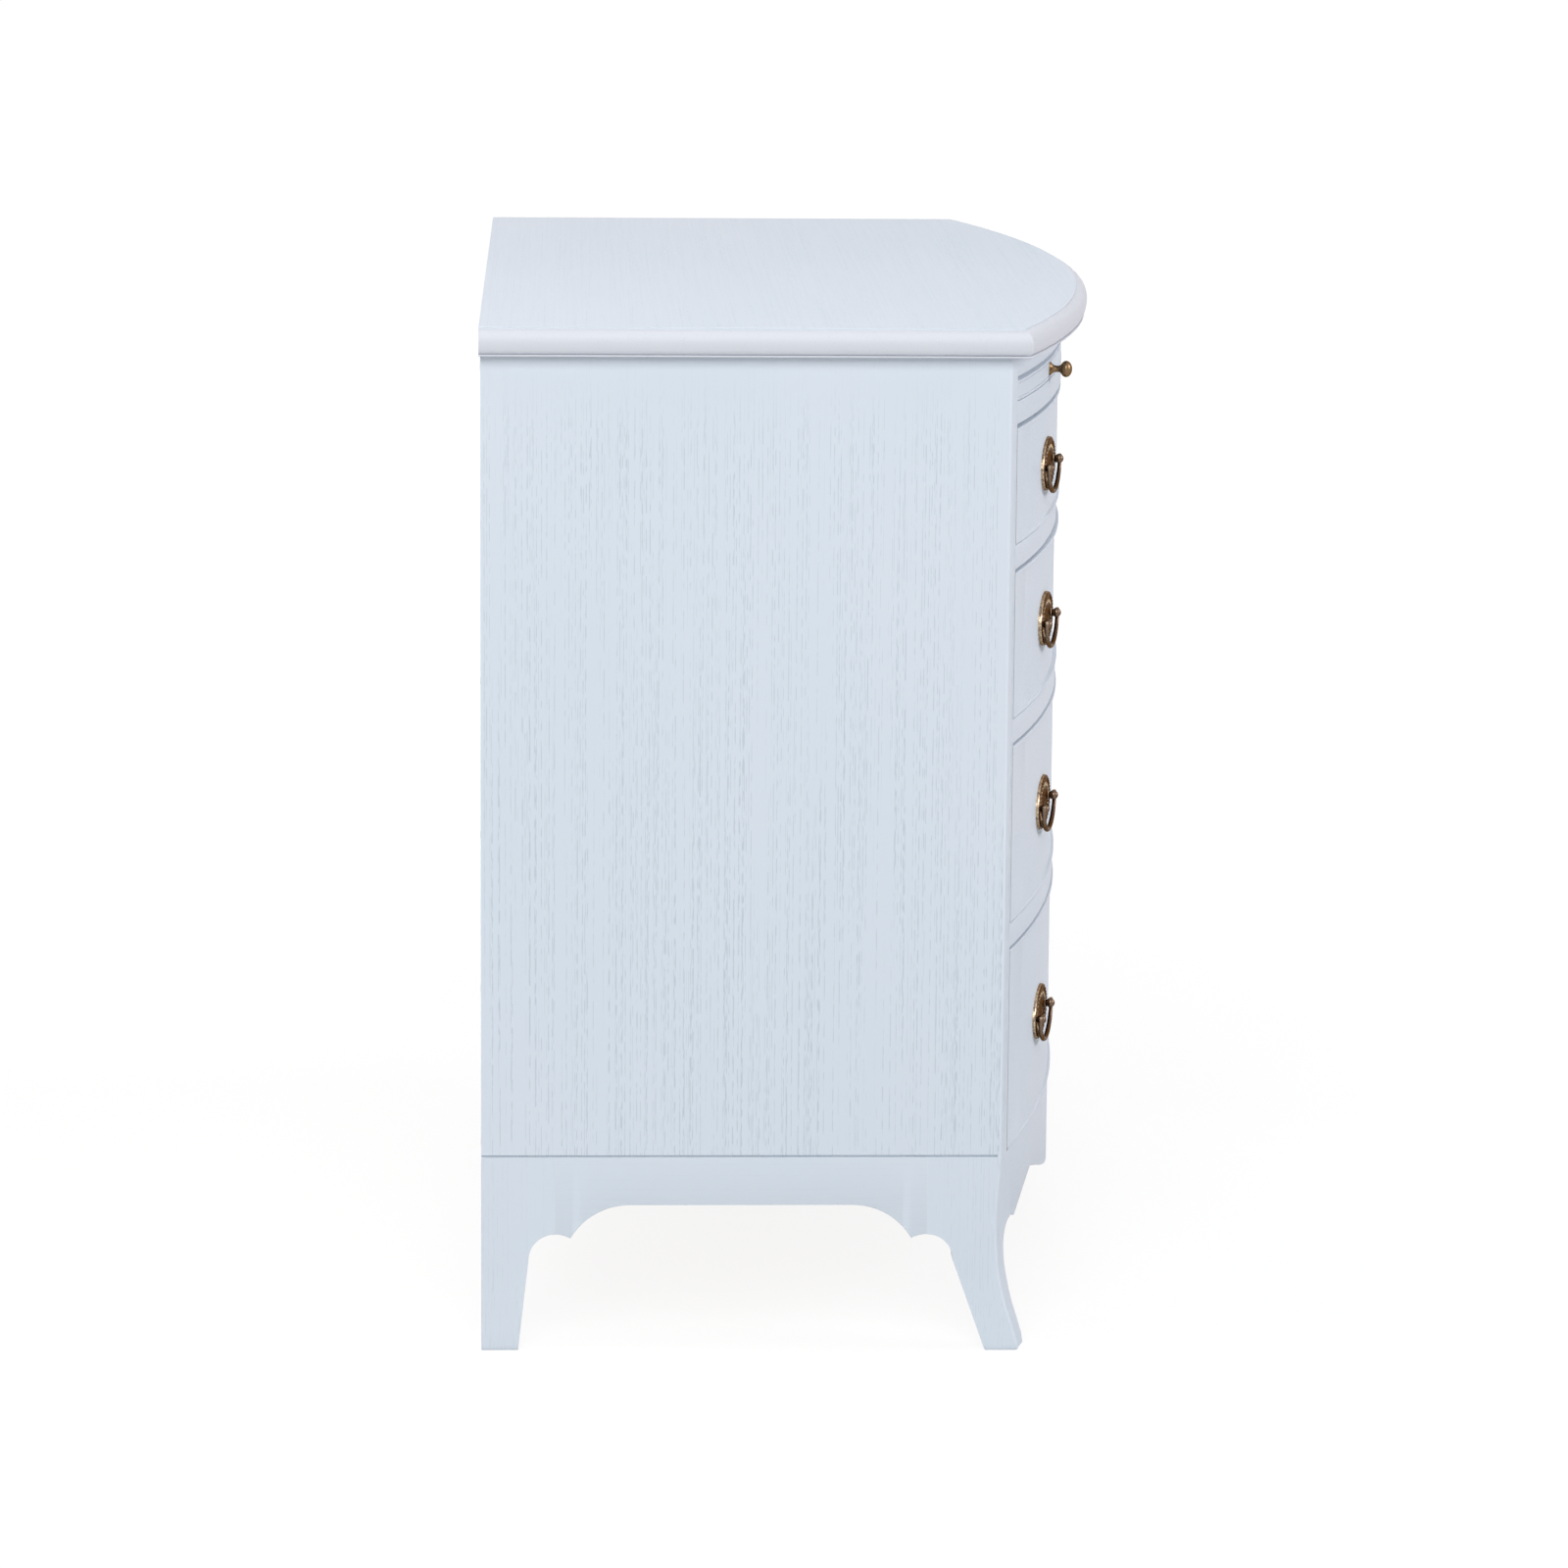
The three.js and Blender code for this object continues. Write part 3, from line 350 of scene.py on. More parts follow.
def height_mask(tree, low, high, below, above):
    """One value under a height, another over it, and a soft step between."""
    place_on = {"Vector": put(tree, "ShaderNodeTexCoord").outputs["Object"]}
    height = put(tree, "ShaderNodeSeparateXYZ", place_on).outputs["Z"]
    return ramp(tree, height, low, high, below, above)


def painted_oak(name, axis, offset=0.0, pore_share=0.48, blank_above=None, nose_shade_below=None):
    material, tree, shader = new_material(name)
    bands = noise(tree, stretched(tree, axis, 45, 1.6, offset + 7), 3.0, 0.6)
    pores = dashes(tree, axis, offset, ramp(tree, bands, 0.34, 0.66, THINNEST, THICKEST))
    if blank_above:
        pores = maths(tree, "MULTIPLY", pores, height_mask(tree, *blank_above, 1.0, 0.1))
    slow = noise(tree, stretched(tree, axis, 5, 2, offset + 11), 2.0)
    paint = mix_colour(tree, ramp(tree, slow, 0.3, 0.7), PAINT, PAINT_COOL)
    # Painted shade on the moulded edge of the top, below its flat.
    if nose_shade_below:
        on_nose_shade = height_mask(tree, *nose_shade_below, 1.0, 0.0)
        paint = mix_colour(tree, on_nose_shade, paint, NOSE_SHADE_COLOUR)
    paint = mix_colour(tree, maths(tree, "MULTIPLY", pores, pore_share), paint, PORE_COLOUR)
    edges = maths(tree, "MULTIPLY", worn_edges(tree, PAINT_EDGE, 0.02, 0.22), PAINT_EDGE_SHARE)
    paint = mix_colour(tree, edges, paint, EDGE_COLOUR)
    shader.inputs["Specular IOR Level"].default_value = PAINT_SHEEN
    brushed = noise(tree, stretched(tree, axis, 420, 8, offset + 17), 2.0)
    rough = ramp(tree, brushed, 0.3, 0.7, 0.50, 0.60)
    rough = maths(tree, "ADD", rough, maths(tree, "MULTIPLY", pores, 0.15))
    paint_with(tree, shader, paint, rough)
    height = maths(tree, "SUBTRACT", maths(tree, "MULTIPLY", brushed, 0.06), pores)
    press_in(tree, shader, height, 0.25 * pore_share, PORE_DEPTH)
    return material


oak_upright = painted_oak("painted_oak_upright", "Z", blank_above=FEW_PORES_ABOVE)
oak_feet = painted_oak("painted_oak_feet", "Z", 0.77, 0.16)
oak_level = painted_oak("painted_oak_level", "X", 0.31, 0.08)
oak_deep = painted_oak("painted_oak_deep", "Y", 0.57, 0.05)
oak_top = painted_oak("painted_oak_top", "X", 0.31, 0.08, nose_shade_below=NOSE_SHADE_LEVELS)

# Painted shade: a dark grey for the end faces of the drawer fronts, standing in for the shade in
# the narrow gap at each stile.
GAP_SHADE_DARK, GAP_SHADE_LIGHT = (0.150, 0.168, 0.185, 1), (0.230, 0.250, 0.270, 1)
gap_shade_paint, tree, shader = new_material("gap_shade_paint")
gap_shade_mottle = noise(tree, stretched(tree, "Z", 300, 60), 3.0)
dull = ramp(tree, gap_shade_mottle, 0.3, 0.7, 0.60, 0.75)
paint_with(tree, shader, mix_colour(tree, gap_shade_mottle, GAP_SHADE_DARK, GAP_SHADE_LIGHT), dull)
print("painted oak in three grain directions, the top's with its nosing, and a first coat")

# %% [markdown]
# ## Bare wood and plywood
# Nobody paints the inside of a drawer. Its sides are pale sanded hardwood, and the
# bottoms, dust boards and back are plywood with the wide, wandering figure of a
# veneer peeled from the log. Rings are a wave bent by noise, and fibres are fine noise.

# %% Bare wood
FIGURE_WAVES = 34.0
SIDE_WOOD = ((0.640, 0.455, 0.270, 1), (0.480, 0.310, 0.160, 1))
PLY_WOOD = ((0.560, 0.405, 0.240, 1), (0.400, 0.265, 0.140, 1))


def bare_wood(name, axis, light, dark, ring_scale, contrast):
    material, tree, shader = new_material(name)
    figure = noise(tree, stretched(tree, axis, ring_scale, ring_scale * 0.06), 3.0, 0.6, 1.2)
    rings = maths(tree, "SINE", maths(tree, "MULTIPLY", figure, FIGURE_WAVES))
    fibres = noise(tree, stretched(tree, axis, 1400, 26, 2.0), 2.0)
    tone = maths(tree, "MULTIPLY", ramp(tree, rings, -1.0, 1.0), contrast)
    tone = maths(tree, "ADD", tone, ramp(tree, fibres, 0.35, 0.75, 0.0, 0.35), True)
    wood = mix_colour(tree, tone, light, dark)
    edges = maths(tree, "MULTIPLY", worn_edges(tree, 1.2 * MM, 0.02, 0.25), 0.3)
    wood = mix_colour(tree, edges, wood, light)
    paint_with(tree, shader, wood, ramp(tree, fibres, 0.3, 0.7, 0.58, 0.72))
    press_in(tree, shader, fibres, 0.25, 0.2 * MM)
    return material


drawer_wood_deep = bare_wood("drawer_wood_deep", "Y", *SIDE_WOOD, 16, 0.5)
drawer_wood_level = bare_wood("drawer_wood_level", "X", *SIDE_WOOD, 16, 0.5)
plywood_level = bare_wood("plywood_level", "X", *PLY_WOOD, 7, 0.8)
plywood_upright = bare_wood("plywood_upright", "Z", *PLY_WOOD, 7, 0.8)

# %% [markdown]
# ## Antique brass
# The pulls are brass, darkened in a bath and then rubbed: brown in the hollows,
# warm and bright on the high spots. The rounded-normal mask finds the high edges, the
# pointiness of the surface finds hollows and crests, and noise breaks both up. The
# patina also dulls the metal where it is seen at a slant, which the specular tint sets.
# The knobs are held more often, so they are rubbed brighter all over.

# %% Antique brass
BRASS_DARK, BRASS_MID = (0.040, 0.023, 0.016, 1), (0.160, 0.104, 0.076, 1)
BRASS_RUBBED, BRASS_HELD = (0.640, 0.500, 0.340, 1), (0.520, 0.340, 0.130, 1)
SLANT_TINT = (0.42, 0.33, 0.27, 1)


def antique_brass(name, rub_all_over, rubbed_colour):
    material, tree, shader = new_material(name)
    mottle = noise(tree, stretched(tree, "Z", 420, 420), 4.0, 0.65)
    pointiness = put(tree, "ShaderNodeNewGeometry").outputs["Pointiness"]
    hollow = ramp(tree, pointiness, 0.495, 0.44)
    crest = ramp(tree, pointiness, 0.515, 0.58)
    rubbed = maths(tree, "MAXIMUM", worn_edges(tree, 0.7 * MM, 0.04, 0.34), crest)
    rubbed = maths(tree, "MULTIPLY", rubbed, ramp(tree, mottle, 0.34, 0.62, 0.15, 1.0))
    all_over = ramp(tree, mottle, 0.30, 0.65, rub_all_over * 0.6, rub_all_over)
    rubbed = maths(tree, "MAXIMUM", rubbed, all_over)
    metal = mix_colour(tree, ramp(tree, mottle, 0.35, 0.7, 0.0, 0.6), BRASS_MID, BRASS_DARK)
    metal = mix_colour(tree, rubbed, metal, rubbed_colour)
    metal = mix_colour(tree, hollow, metal, BRASS_DARK)
    shader.inputs["Metallic"].default_value = 1.0
    shader.inputs["Specular Tint"].default_value = SLANT_TINT
    paint_with(tree, shader, metal, ramp(tree, mottle, 0.25, 0.75, 0.20, 0.36))
    press_in(tree, shader, mottle, 0.2, 0.2 * MM)
    return material


brass = antique_brass("antique_brass", 0.0, BRASS_RUBBED)
held_brass = antique_brass("antique_brass_held", 0.24, BRASS_HELD)
print("antique brass, plain and held")

# %% [markdown]
# ## Steel for the back's screws
# Plain zinc-plated screws hold the back. Their finish is a grey metal with a faint
# mottle.

# %% Zinc
ZINC_DARK, ZINC_LIGHT = (0.42, 0.42, 0.40, 1), (0.56, 0.55, 0.52, 1)
zinc, tree, shader = new_material("zinc_plate")
mottle = noise(tree, stretched(tree, "Z", 500, 500), 3.0)
shader.inputs["Metallic"].default_value = 1.0
polish = ramp(tree, mottle, 0.3, 0.7, 0.30, 0.45)
paint_with(tree, shader, mix_colour(tree, mottle, ZINC_DARK, ZINC_LIGHT), polish)
print("zinc plate for the screws")

# %% [markdown]
# ## The moulded top
# The edge of the top is worked with a moulding plane: a thin fillet below, a round nose
# that turns under above it, and a small quirk where the nose meets the flat. The profile
# is a list of (height, inset) pairs, and each pair gives one ring round the front and
# both ends. The back is square, so every ring shares one back line.

# %% Top
NOSE_STEPS = 10
FILLET_INSET, FILLET_EASE = mm(2.2, 0.4)
UNDERCUT, UNDERCUT_CORNER = mm(5.2, 5.8)
NOSE_LOW = TOP_UNDERSIDE + 1.7 * MM
NOSE_LEVEL = HEIGHT - 12.4 * MM
QUIRK_HEIGHT, QUIRK_INSET, QUIRK_EASE = HEIGHT - 1.5 * MM, 10 * MM, 0.3 * MM
top_profile = [
    (TOP_UNDERSIDE, FILLET_INSET + FILLET_EASE),
    (TOP_UNDERSIDE + FILLET_EASE, FILLET_INSET),
    (NOSE_LOW - 0.5 * MM, FILLET_INSET),
    (NOSE_LOW - 0.3 * MM, FILLET_INSET + 0.3 * MM),
    (NOSE_LOW - 0.1 * MM, UNDERCUT_CORNER),
]
for angle in spread(0, QUARTER, NOSE_STEPS)[1:]:
    drop = (NOSE_LEVEL - NOSE_LOW) * math.cos(angle)
    top_profile.append((NOSE_LEVEL - drop, UNDERCUT * (1 - math.sin(angle))))
for angle in spread(0, QUARTER, NOSE_STEPS)[1:]:
    rise = (QUIRK_HEIGHT - NOSE_LEVEL) * math.sin(angle)
    top_profile.append((NOSE_LEVEL + rise, QUIRK_INSET * (1 - math.cos(angle))))
top_profile += [(HEIGHT - QUIRK_EASE, QUIRK_INSET), (HEIGHT, QUIRK_INSET + QUIRK_EASE)]


def top_ring(height, inset):
    half = WIDTH / 2 - inset
    front = bow_line(-half, half, inset, TOP_CURVE)
    ends = [(half, BACK_Y), (-half, BACK_Y)]
    return at_height(front + ends, height)


top_mesh = skin("moulded_top", [top_ring(z, inset) for z, inset in top_profile])
place(top_mesh, "moulded_top", "case", oak_top, "top")
print("moulded top:", len(top_profile), "rings")

# %% [markdown]
# ## Rails
# Above and between the drawers run rails whose front faces follow the bow. The three
# between the drawers are sawn to a slightly flatter arc, so their middle lies a little
# back. Each long arris is eased with a stroke of sandpaper: here four rings, close
# together, carry the face round each edge.

# %% Rails
ARRIS = 0.9 * MM
RAIL_BACK_Y = bow_y(INNER_HALF, 0) + RAIL_END_DEPTH
RAIL_RECESS = {"rail_1": 3.0 * MM, "rail_2": 1.4 * MM, "rail_3": 1.4 * MM}


def eased(low, high, radius):
    """(height, inset) pairs of an upright face with both of its arrises rounded."""
    lower = []
    for angle in spread(0, QUARTER, 3):
        lower.append((low + radius * (1 - math.cos(angle)), radius * (1 - math.sin(angle))))
    upper = [(high - (z - low), inset) for z, inset in reversed(lower)]
    return lower + upper


def flatter(x, half, recess):
    """How far a slightly flatter arc lies behind the bow: nothing at the ends."""
    return recess * (1 - (x / half) ** 2)


def rail_ring(height, inset, recess):
    bow = bow_line(-INNER_HALF, INNER_HALF, inset)
    front = [(x, y + flatter(x, INNER_HALF, recess)) for x, y in bow]
    return at_height(front + [(INNER_HALF, RAIL_BACK_Y), (-INNER_HALF, RAIL_BACK_Y)], height)


rail_levels = {
    "frieze_rail": (SLIDE_CEILING, TOP_UNDERSIDE),
    "rail_under_slide": (DRAWER_CEILING, SLIDE_FLOOR),
}
for i in range(len(openings) - 1):
    rail_levels[f"rail_{i + 1}"] = (openings[i + 1][1], openings[i][0])
for node, (low, high) in rail_levels.items():
    recess = RAIL_RECESS.get(node, 0)
    rings = [rail_ring(z, inset, recess) for z, inset in eased(low, high, ARRIS)]
    place(skin(node, rings), "bowed_" + node, "case", oak_level, node)
print("rails:", list(rail_levels))

# %% [markdown]
# ## Side panels
# The side of the case and the stile that shows in front are one board here. Its front
# arris is well rounded, so light runs down it as a soft line. A shallow groove parts
# the panel from the base below it, and stops just short of the corner.

# %% Side panels
CORNER_ROUND, INNER_ROUND = mm(2.6, 0.5)
GROOVE_DEPTH, GROOVE_HEIGHT, GROOVE_STOP = mm(2.2, 1.8, 3)
GROOVE_EASE, STOP_SLANT = mm(0.4, 0.02)


def bezier(points, steps=16):
    """Points on a curve drawn by its control points, three or four of them."""
    line = []
    for t in spread(0, 1, steps):
        level = [Vector(point) for point in points]
        while len(level) > 1:
            level = [a.lerp(b, t) for a, b in zip(level, level[1:])]
        line.append(tuple(level[0]))
    return line


def rounded_corner(corner, first, second, radius, steps=6):
    """Points of a smooth turn at a corner, from the side of first to that of second."""
    corner, first, second = Vector(corner), Vector(first), Vector(second)
    start = corner + (first - corner).normalized() * radius
    end = corner + (second - corner).normalized() * radius
    return bezier([start, corner, end], steps)


def panel_ring(height, groove):
    outer = CASE_HALF - groove
    lap_x = INNER_HALF + BACK_LAP
    back_panel_y = CASE_BACK_Y - BACK_THICKNESS
    inner_front = (INNER_HALF, bow_y(INNER_HALF, 0))
    corner = (CASE_HALF, FRONT_CORNER_Y)
    stop = FRONT_CORNER_Y + GROOVE_STOP
    points = rounded_corner(inner_front, (INNER_HALF, 0), corner, INNER_ROUND, 2)
    points += rounded_corner(corner, inner_front, (CASE_HALF, 0), CORNER_ROUND)
    points += [(CASE_HALF, stop), (outer, stop + STOP_SLANT)]
    points += [(outer, CASE_BACK_Y), (lap_x, CASE_BACK_Y), (lap_x, back_panel_y)]
    return at_height(points + [(INNER_HALF, back_panel_y)], height)


groove_top = BASE_HEIGHT + GROOVE_HEIGHT
panel_levels = [
    (BASE_HEIGHT, GROOVE_DEPTH),
    (groove_top - 0.3 * MM, GROOVE_DEPTH),
    (groove_top, GROOVE_DEPTH - GROOVE_EASE),
    (groove_top, GROOVE_EASE),
    (groove_top + GROOVE_EASE, 0),
    (TOP_UNDERSIDE, 0),
]
panel = skin("side_right", [panel_ring(z, groove) for z, groove in panel_levels])
place_pair(panel, "side_board", oak_upright, "side_panel")
print("side panels:", len(panel.polygons), "faces each")

# %% [markdown]
# ## Scalloped aprons
# The lower edge of the base is sawn to a pattern: a small arc by each foot, a sharp
# cusp, and a longer curve. A board with such an edge is a section that moves along the
# edge's own points, so the curve is exact and its arris can be eased all the way.

# %% Edge patterns
APRON_SETBACK = 2.5 * MM
FOOT_ARC, FOOT_ARC_HEIGHT = mm(65, 105.5)
CUSP, CUSP_HEIGHT = mm(79, 101.8)
ARCH_START, ARCH_HEIGHT = mm(132, 132.3)
FRONT_ARC, FRONT_ARC_HEIGHT = mm(50, 109)
FRONT_CUSP, FRONT_CUSP_HEIGHT = mm(71.5, 104.8)
FRONT_PEAK, FRONT_PEAK_HEIGHT = mm(156.5, 128.5)
VALANCE_START, VALANCE_HEIGHT = mm(420, 80)
FRONT_JOINT_X = CASE_HALF - FRONT_ARC
SAWN_EASE = 1.2 * MM


def crown_arc(crown, end, steps=10):
    """A round arc that starts level at its crown and falls to its end."""
    run, fall = end[0] - crown[0], crown[1] - end[1]
    radius = (run**2 + fall**2) / (2 * fall)
    line = []
    for along in spread(0, run, steps):
        drop = radius - math.sqrt(radius**2 - along * along)
        line.append((crown[0] + along, crown[1] - drop))
    return line


def hung_board(name, stations, at, thickness):
    """A board under the base line. at turns (along, depth, height) into a point."""
    rings = []
    for along, low in stations:
        section = [(0, BASE_HEIGHT), (0, low + SAWN_EASE)]
        section += [(SAWN_EASE * 0.3, low + SAWN_EASE * 0.3), (SAWN_EASE, low)]
        section += [(thickness, low), (thickness, BASE_HEIGHT)]
        rings.append([at(along, depth, height) for depth, height in section])
    return skin(name, rings)


# %% [markdown]
# The side apron is flat, and the front one is bent to the bow and set back a little
# behind the drawers. Its middle hangs lower, as a valance.

# %% Aprons
BEND_SHARE, SHOULDER_SHARE, LEVEL_SHARE = (0.45, 0.62), 0.25, 0.65


def on_side(y, depth, z):
    return CASE_HALF - depth, y, z


def on_bow(x, depth, z):
    return x, bow_y(x, APRON_SETBACK + depth), z


side_edge = crown_arc((FOOT_ARC, FOOT_ARC_HEIGHT), (CUSP, CUSP_HEIGHT))
side_edge += crown_arc((ARCH_START, ARCH_HEIGHT), (CUSP, CUSP_HEIGHT), 16)[-2::-1]
stations = [(FRONT_CORNER_Y + s, z) for s, z in side_edge]
stations += [(CASE_BACK_Y - s, z) for s, z in reversed(side_edge)]
apron = hung_board("side_apron", stations, on_side, SIDE_THICKNESS)
place_pair(apron, "scalloped_apron", oak_deep, "side_apron")

cusp = Vector((FRONT_CUSP, FRONT_CUSP_HEIGHT))
peak = Vector((FRONT_PEAK, FRONT_PEAK_HEIGHT))
middle = Vector((VALANCE_START, VALANCE_HEIGHT))
bend = cusp + Vector(BEND_SHARE) * (peak - cusp)
shoulder = peak.lerp(middle, SHOULDER_SHARE)
foot_of_bend = Vector((peak.x + LEVEL_SHARE * (middle.x - peak.x), middle.y))
front_edge = crown_arc((FRONT_ARC, FRONT_ARC_HEIGHT), tuple(cusp))
front_edge += bezier([cusp, bend, peak])[1:]
front_edge += bezier([peak, shoulder, foot_of_bend, middle], 28)[1:]
stations = [(s - CASE_HALF, z) for s, z in front_edge]
level_from = stations[-1][0]
stations += [(x, VALANCE_HEIGHT) for x in spread(level_from, -level_from, 12)[1:-1]]
stations += [(CASE_HALF - s, z) for s, z in reversed(front_edge)]
apron = hung_board("front_apron", stations, on_bow, SIDE_THICKNESS - APRON_SETBACK)
place(apron, "bowed_apron", "case", oak_level, "front_apron")
print("aprons: side edge of", len(side_edge), "points, front edge of", len(front_edge))

# %% [markdown]
# ## Feet
# A bracket foot is two boards joined at the corner. Seen in level slices it is an
# angle whose arms grow longer with height, as the legs open into the arcs, and whose
# corner moves outwards towards the toe. So a foot is a stack of such slices, close
# together where the arcs turn quickly. The table gives, in millimetres, how far the face
# stands out at some heights.

# %% Feet helpers
NECK_HEIGHT = 82 * MM
HAIR = 1e-6 * MM
TOE_ROUND, TOE_ROUND_HEIGHT = mm(1.2, 1.6)
SPLAY = (
    (0, 17.4), (9.5, 15.8), (18, 13.2), (26.4, 10.4), (38, 6.6), (49.3, 3.5), (60, 1.2),
    (72.2, -1.2), (92, -2.9), (114.4, -3.5), (130.2, -3.1), (149.6, -1.6), (176, 0),
)  # fmt: skip


def splay_at(z):
    """How far the front face stands out at a height, smoothly between the marks."""
    for (z0, out0), (z1, out1) in zip(SPLAY, SPLAY[1:]):
        if z <= z1 * MM + HAIR:
            return (out0 + (out1 - out0) * (z / MM - z0) / (z1 - z0)) * MM
    return 0.0


def arm_length(z, toe, neck, top, top_height):
    """Length of a foot's arm at a height: a straight leg, then the small arc."""
    if z <= NECK_HEIGHT:
        return toe + (neck - toe) * z / NECK_HEIGHT
    if z >= top_height - HAIR:
        return top
    share = (z - NECK_HEIGHT) / (top_height - NECK_HEIGHT)
    return top - (top - neck) * math.sqrt(1 - share * share)


def slice_levels(tops):
    levels = [0, 0.6 * MM, TOE_ROUND_HEIGHT] + spread(5 * MM, NECK_HEIGHT, 16) + [BASE_HEIGHT]
    for top in tops:
        turns = [math.sin(angle) for angle in spread(0, QUARTER, 12)]
        levels += [NECK_HEIGHT + (top - NECK_HEIGHT) * turn for turn in turns]
        levels += spread(top, BASE_HEIGHT, 8)
    return sorted(set(round(z, 7) for z in levels))


def toe_ease(z):
    """How far the toe's lowest arris is drawn in, so that the foot meets the floor softly."""
    return TOE_ROUND * max(0.0, 1 - z / TOE_ROUND_HEIGHT) ** 2


# %% [markdown]
# The front foot follows the bow on its front arm. Near the apron its face settles back
# to the apron's, and at the corner it sweeps out over the last third of its height.

# %% Front feet
SIDE_SPLAY, FACE_END = mm(5, 6)
FRONT_TOE_WIDTH, FRONT_NECK_WIDTH = mm(19, 24)
FRONT_TOE_DEPTH, NECK_DEPTH = mm(12.6, 42)


def front_foot_ring(z):
    out, ease = splay_at(z), toe_ease(z)
    side = SIDE_SPLAY * max(out, 0) / (SPLAY[0][1] * MM)
    inner = max(out, 0)
    reach = arm_length(z, FRONT_TOE_WIDTH, FRONT_NECK_WIDTH, FRONT_ARC, FRONT_ARC_HEIGHT)
    depth = arm_length(z, FRONT_TOE_DEPTH, NECK_DEPTH, FOOT_ARC, FOOT_ARC_HEIGHT)
    settle = min(1, max(0, (z - NECK_HEIGHT) / (FRONT_ARC_HEIGHT - NECK_HEIGHT)))
    corner = (CASE_HALF + side - ease, FRONT_CORNER_Y - out + ease)
    arm_x = CASE_HALF - reach + ease * 0.5
    face = []
    for x in spread(arm_x, CASE_HALF - FACE_END, 6):
        back = settle * min(1, max(0, (INNER_HALF - x) / (INNER_HALF - FRONT_JOINT_X)))
        stand = out * (1 - back) - APRON_SETBACK * back
        face.append((x, bow_y(x, 0) - stand + ease))
    arm_y = FRONT_CORNER_Y + depth - ease * 0.5
    points = face + rounded_corner(corner, face[-1], (corner[0], arm_y), CORNER_ROUND)
    points += [(corner[0], arm_y), (INNER_HALF + side, arm_y)]
    points += [(INNER_HALF + side, bow_y(INNER_HALF, SIDE_THICKNESS) - inner)]
    points += [(arm_x, bow_y(arm_x, SIDE_THICKNESS) - inner)]
    return at_height(points, z)


levels = slice_levels((FRONT_ARC_HEIGHT, FOOT_ARC_HEIGHT))
foot = skin("front_foot", [front_foot_ring(z) for z in levels])
place_pair(foot, "swept_foot", oak_feet, "front_foot")
print("front foot:", len(levels), "slices")

# %% [markdown]
# The back foot has a straight side and a bracket along the back, which carries the
# bottom board. There its slice loses the back arm, as the board takes that room.

# %% Back feet
BACK_SPLAY, BACK_ROUND = mm(2, 1.2)
BACK_TOE_WIDTH, BACK_NECK_WIDTH, BACK_TOE_DEPTH = mm(30.6, 42, 32.6)
WING, WING_HEIGHT = mm(122, 128)
BOARD_LOW = BASE_HEIGHT - 15 * MM


def back_foot_ring(z, wing=True):
    out, ease = splay_at(z), toe_ease(z)
    side = BACK_SPLAY * max(out, 0) / (SPLAY[0][1] * MM)
    depth = arm_length(z, BACK_TOE_DEPTH, NECK_DEPTH, FOOT_ARC, FOOT_ARC_HEIGHT)
    reach = SIDE_THICKNESS
    if wing:
        reach = arm_length(z, BACK_TOE_WIDTH, BACK_NECK_WIDTH, WING, WING_HEIGHT)
    outer = CASE_HALF + side - ease
    arm_x, arm_y = CASE_HALF - reach, CASE_BACK_Y - depth
    inner_x, inner_y = INNER_HALF + side, CASE_BACK_Y - SIDE_THICKNESS
    if not wing:
        inner_x = arm_x = INNER_HALF
    points = [(arm_x, CASE_BACK_Y), (arm_x, inner_y), (inner_x, inner_y), (inner_x, arm_y)]
    points += [(outer, arm_y)]
    points += rounded_corner((outer, CASE_BACK_Y), (outer, 0), (0, CASE_BACK_Y), BACK_ROUND, 3)
    return at_height(points, z)


levels = [z for z in slice_levels((WING_HEIGHT, FOOT_ARC_HEIGHT)) if z < BOARD_LOW]
rings = [back_foot_ring(z) for z in levels + [BOARD_LOW]]
rings += [back_foot_ring(z, wing=False) for z in (BOARD_LOW, BASE_HEIGHT)]
foot = skin("back_foot", rings)
place_pair(foot, "bracket_foot", oak_feet, "back_foot")
print("back foot:", len(rings), "slices")

# %% [markdown]
# ## Drawer fronts
# At their ends the fronts lie flush with the case. Along its edges a front keeps to the
# bow as a narrow lip, and inside the lip its face follows a slightly flatter arc. Each
# drawer rests on its runners with a hair's gap below, and a wider gap above shows as a
# soft dark band under the rail. The edges are only eased, and the back is lapped: thick
# in the middle, thin at both ends where the sides come in. The end faces are painted a
# dark grey: painted shade, for the thin dark line of the gap at each stile.

# %% Drawer fronts
DRAWER_REVEAL, FACE_REVEAL = mm(1, 0.1)
DRAWER_FLOOR_GAPS = mm(0.5, 0.5, 0.5, 1.1)
DRAWER_TOP_GAPS = mm(4.0, 3.4, 3.0, 3.0)
FRONT_RECESSES = mm(3.0, 4.2, 3.0, 3.0)
LIP = mm(2.4, 3.4)
FRONT_THICKNESS, LAP, DRAWER_SIDE = mm(20, 8, 12)
CLEARANCE, END_GAP = mm(0.3, 0.5)
END_HALF = DRAWER_HALF - END_GAP
FRONT_EASE, EASE_SHARES, END_SHARE = 0.9 * MM, (0, 0.13, 0.5, 1), 0.7
FAR, SIDEWAYS = 1.0, 0.75


def eased_row(edge_distance):
    """How far an eased edge falls back, at a distance from that edge."""
    share = min(1.0, edge_distance / FRONT_EASE)
    return FRONT_EASE * (1 - math.sqrt(1 - (1 - share) ** 2))


def front_fall(edge_distance, end_distance):
    """The long arrises are eased, and the ends are left almost square."""
    if edge_distance == end_distance:
        edge_distance += END_SHARE * FRONT_EASE
    return FACE_REVEAL + eased_row(edge_distance)


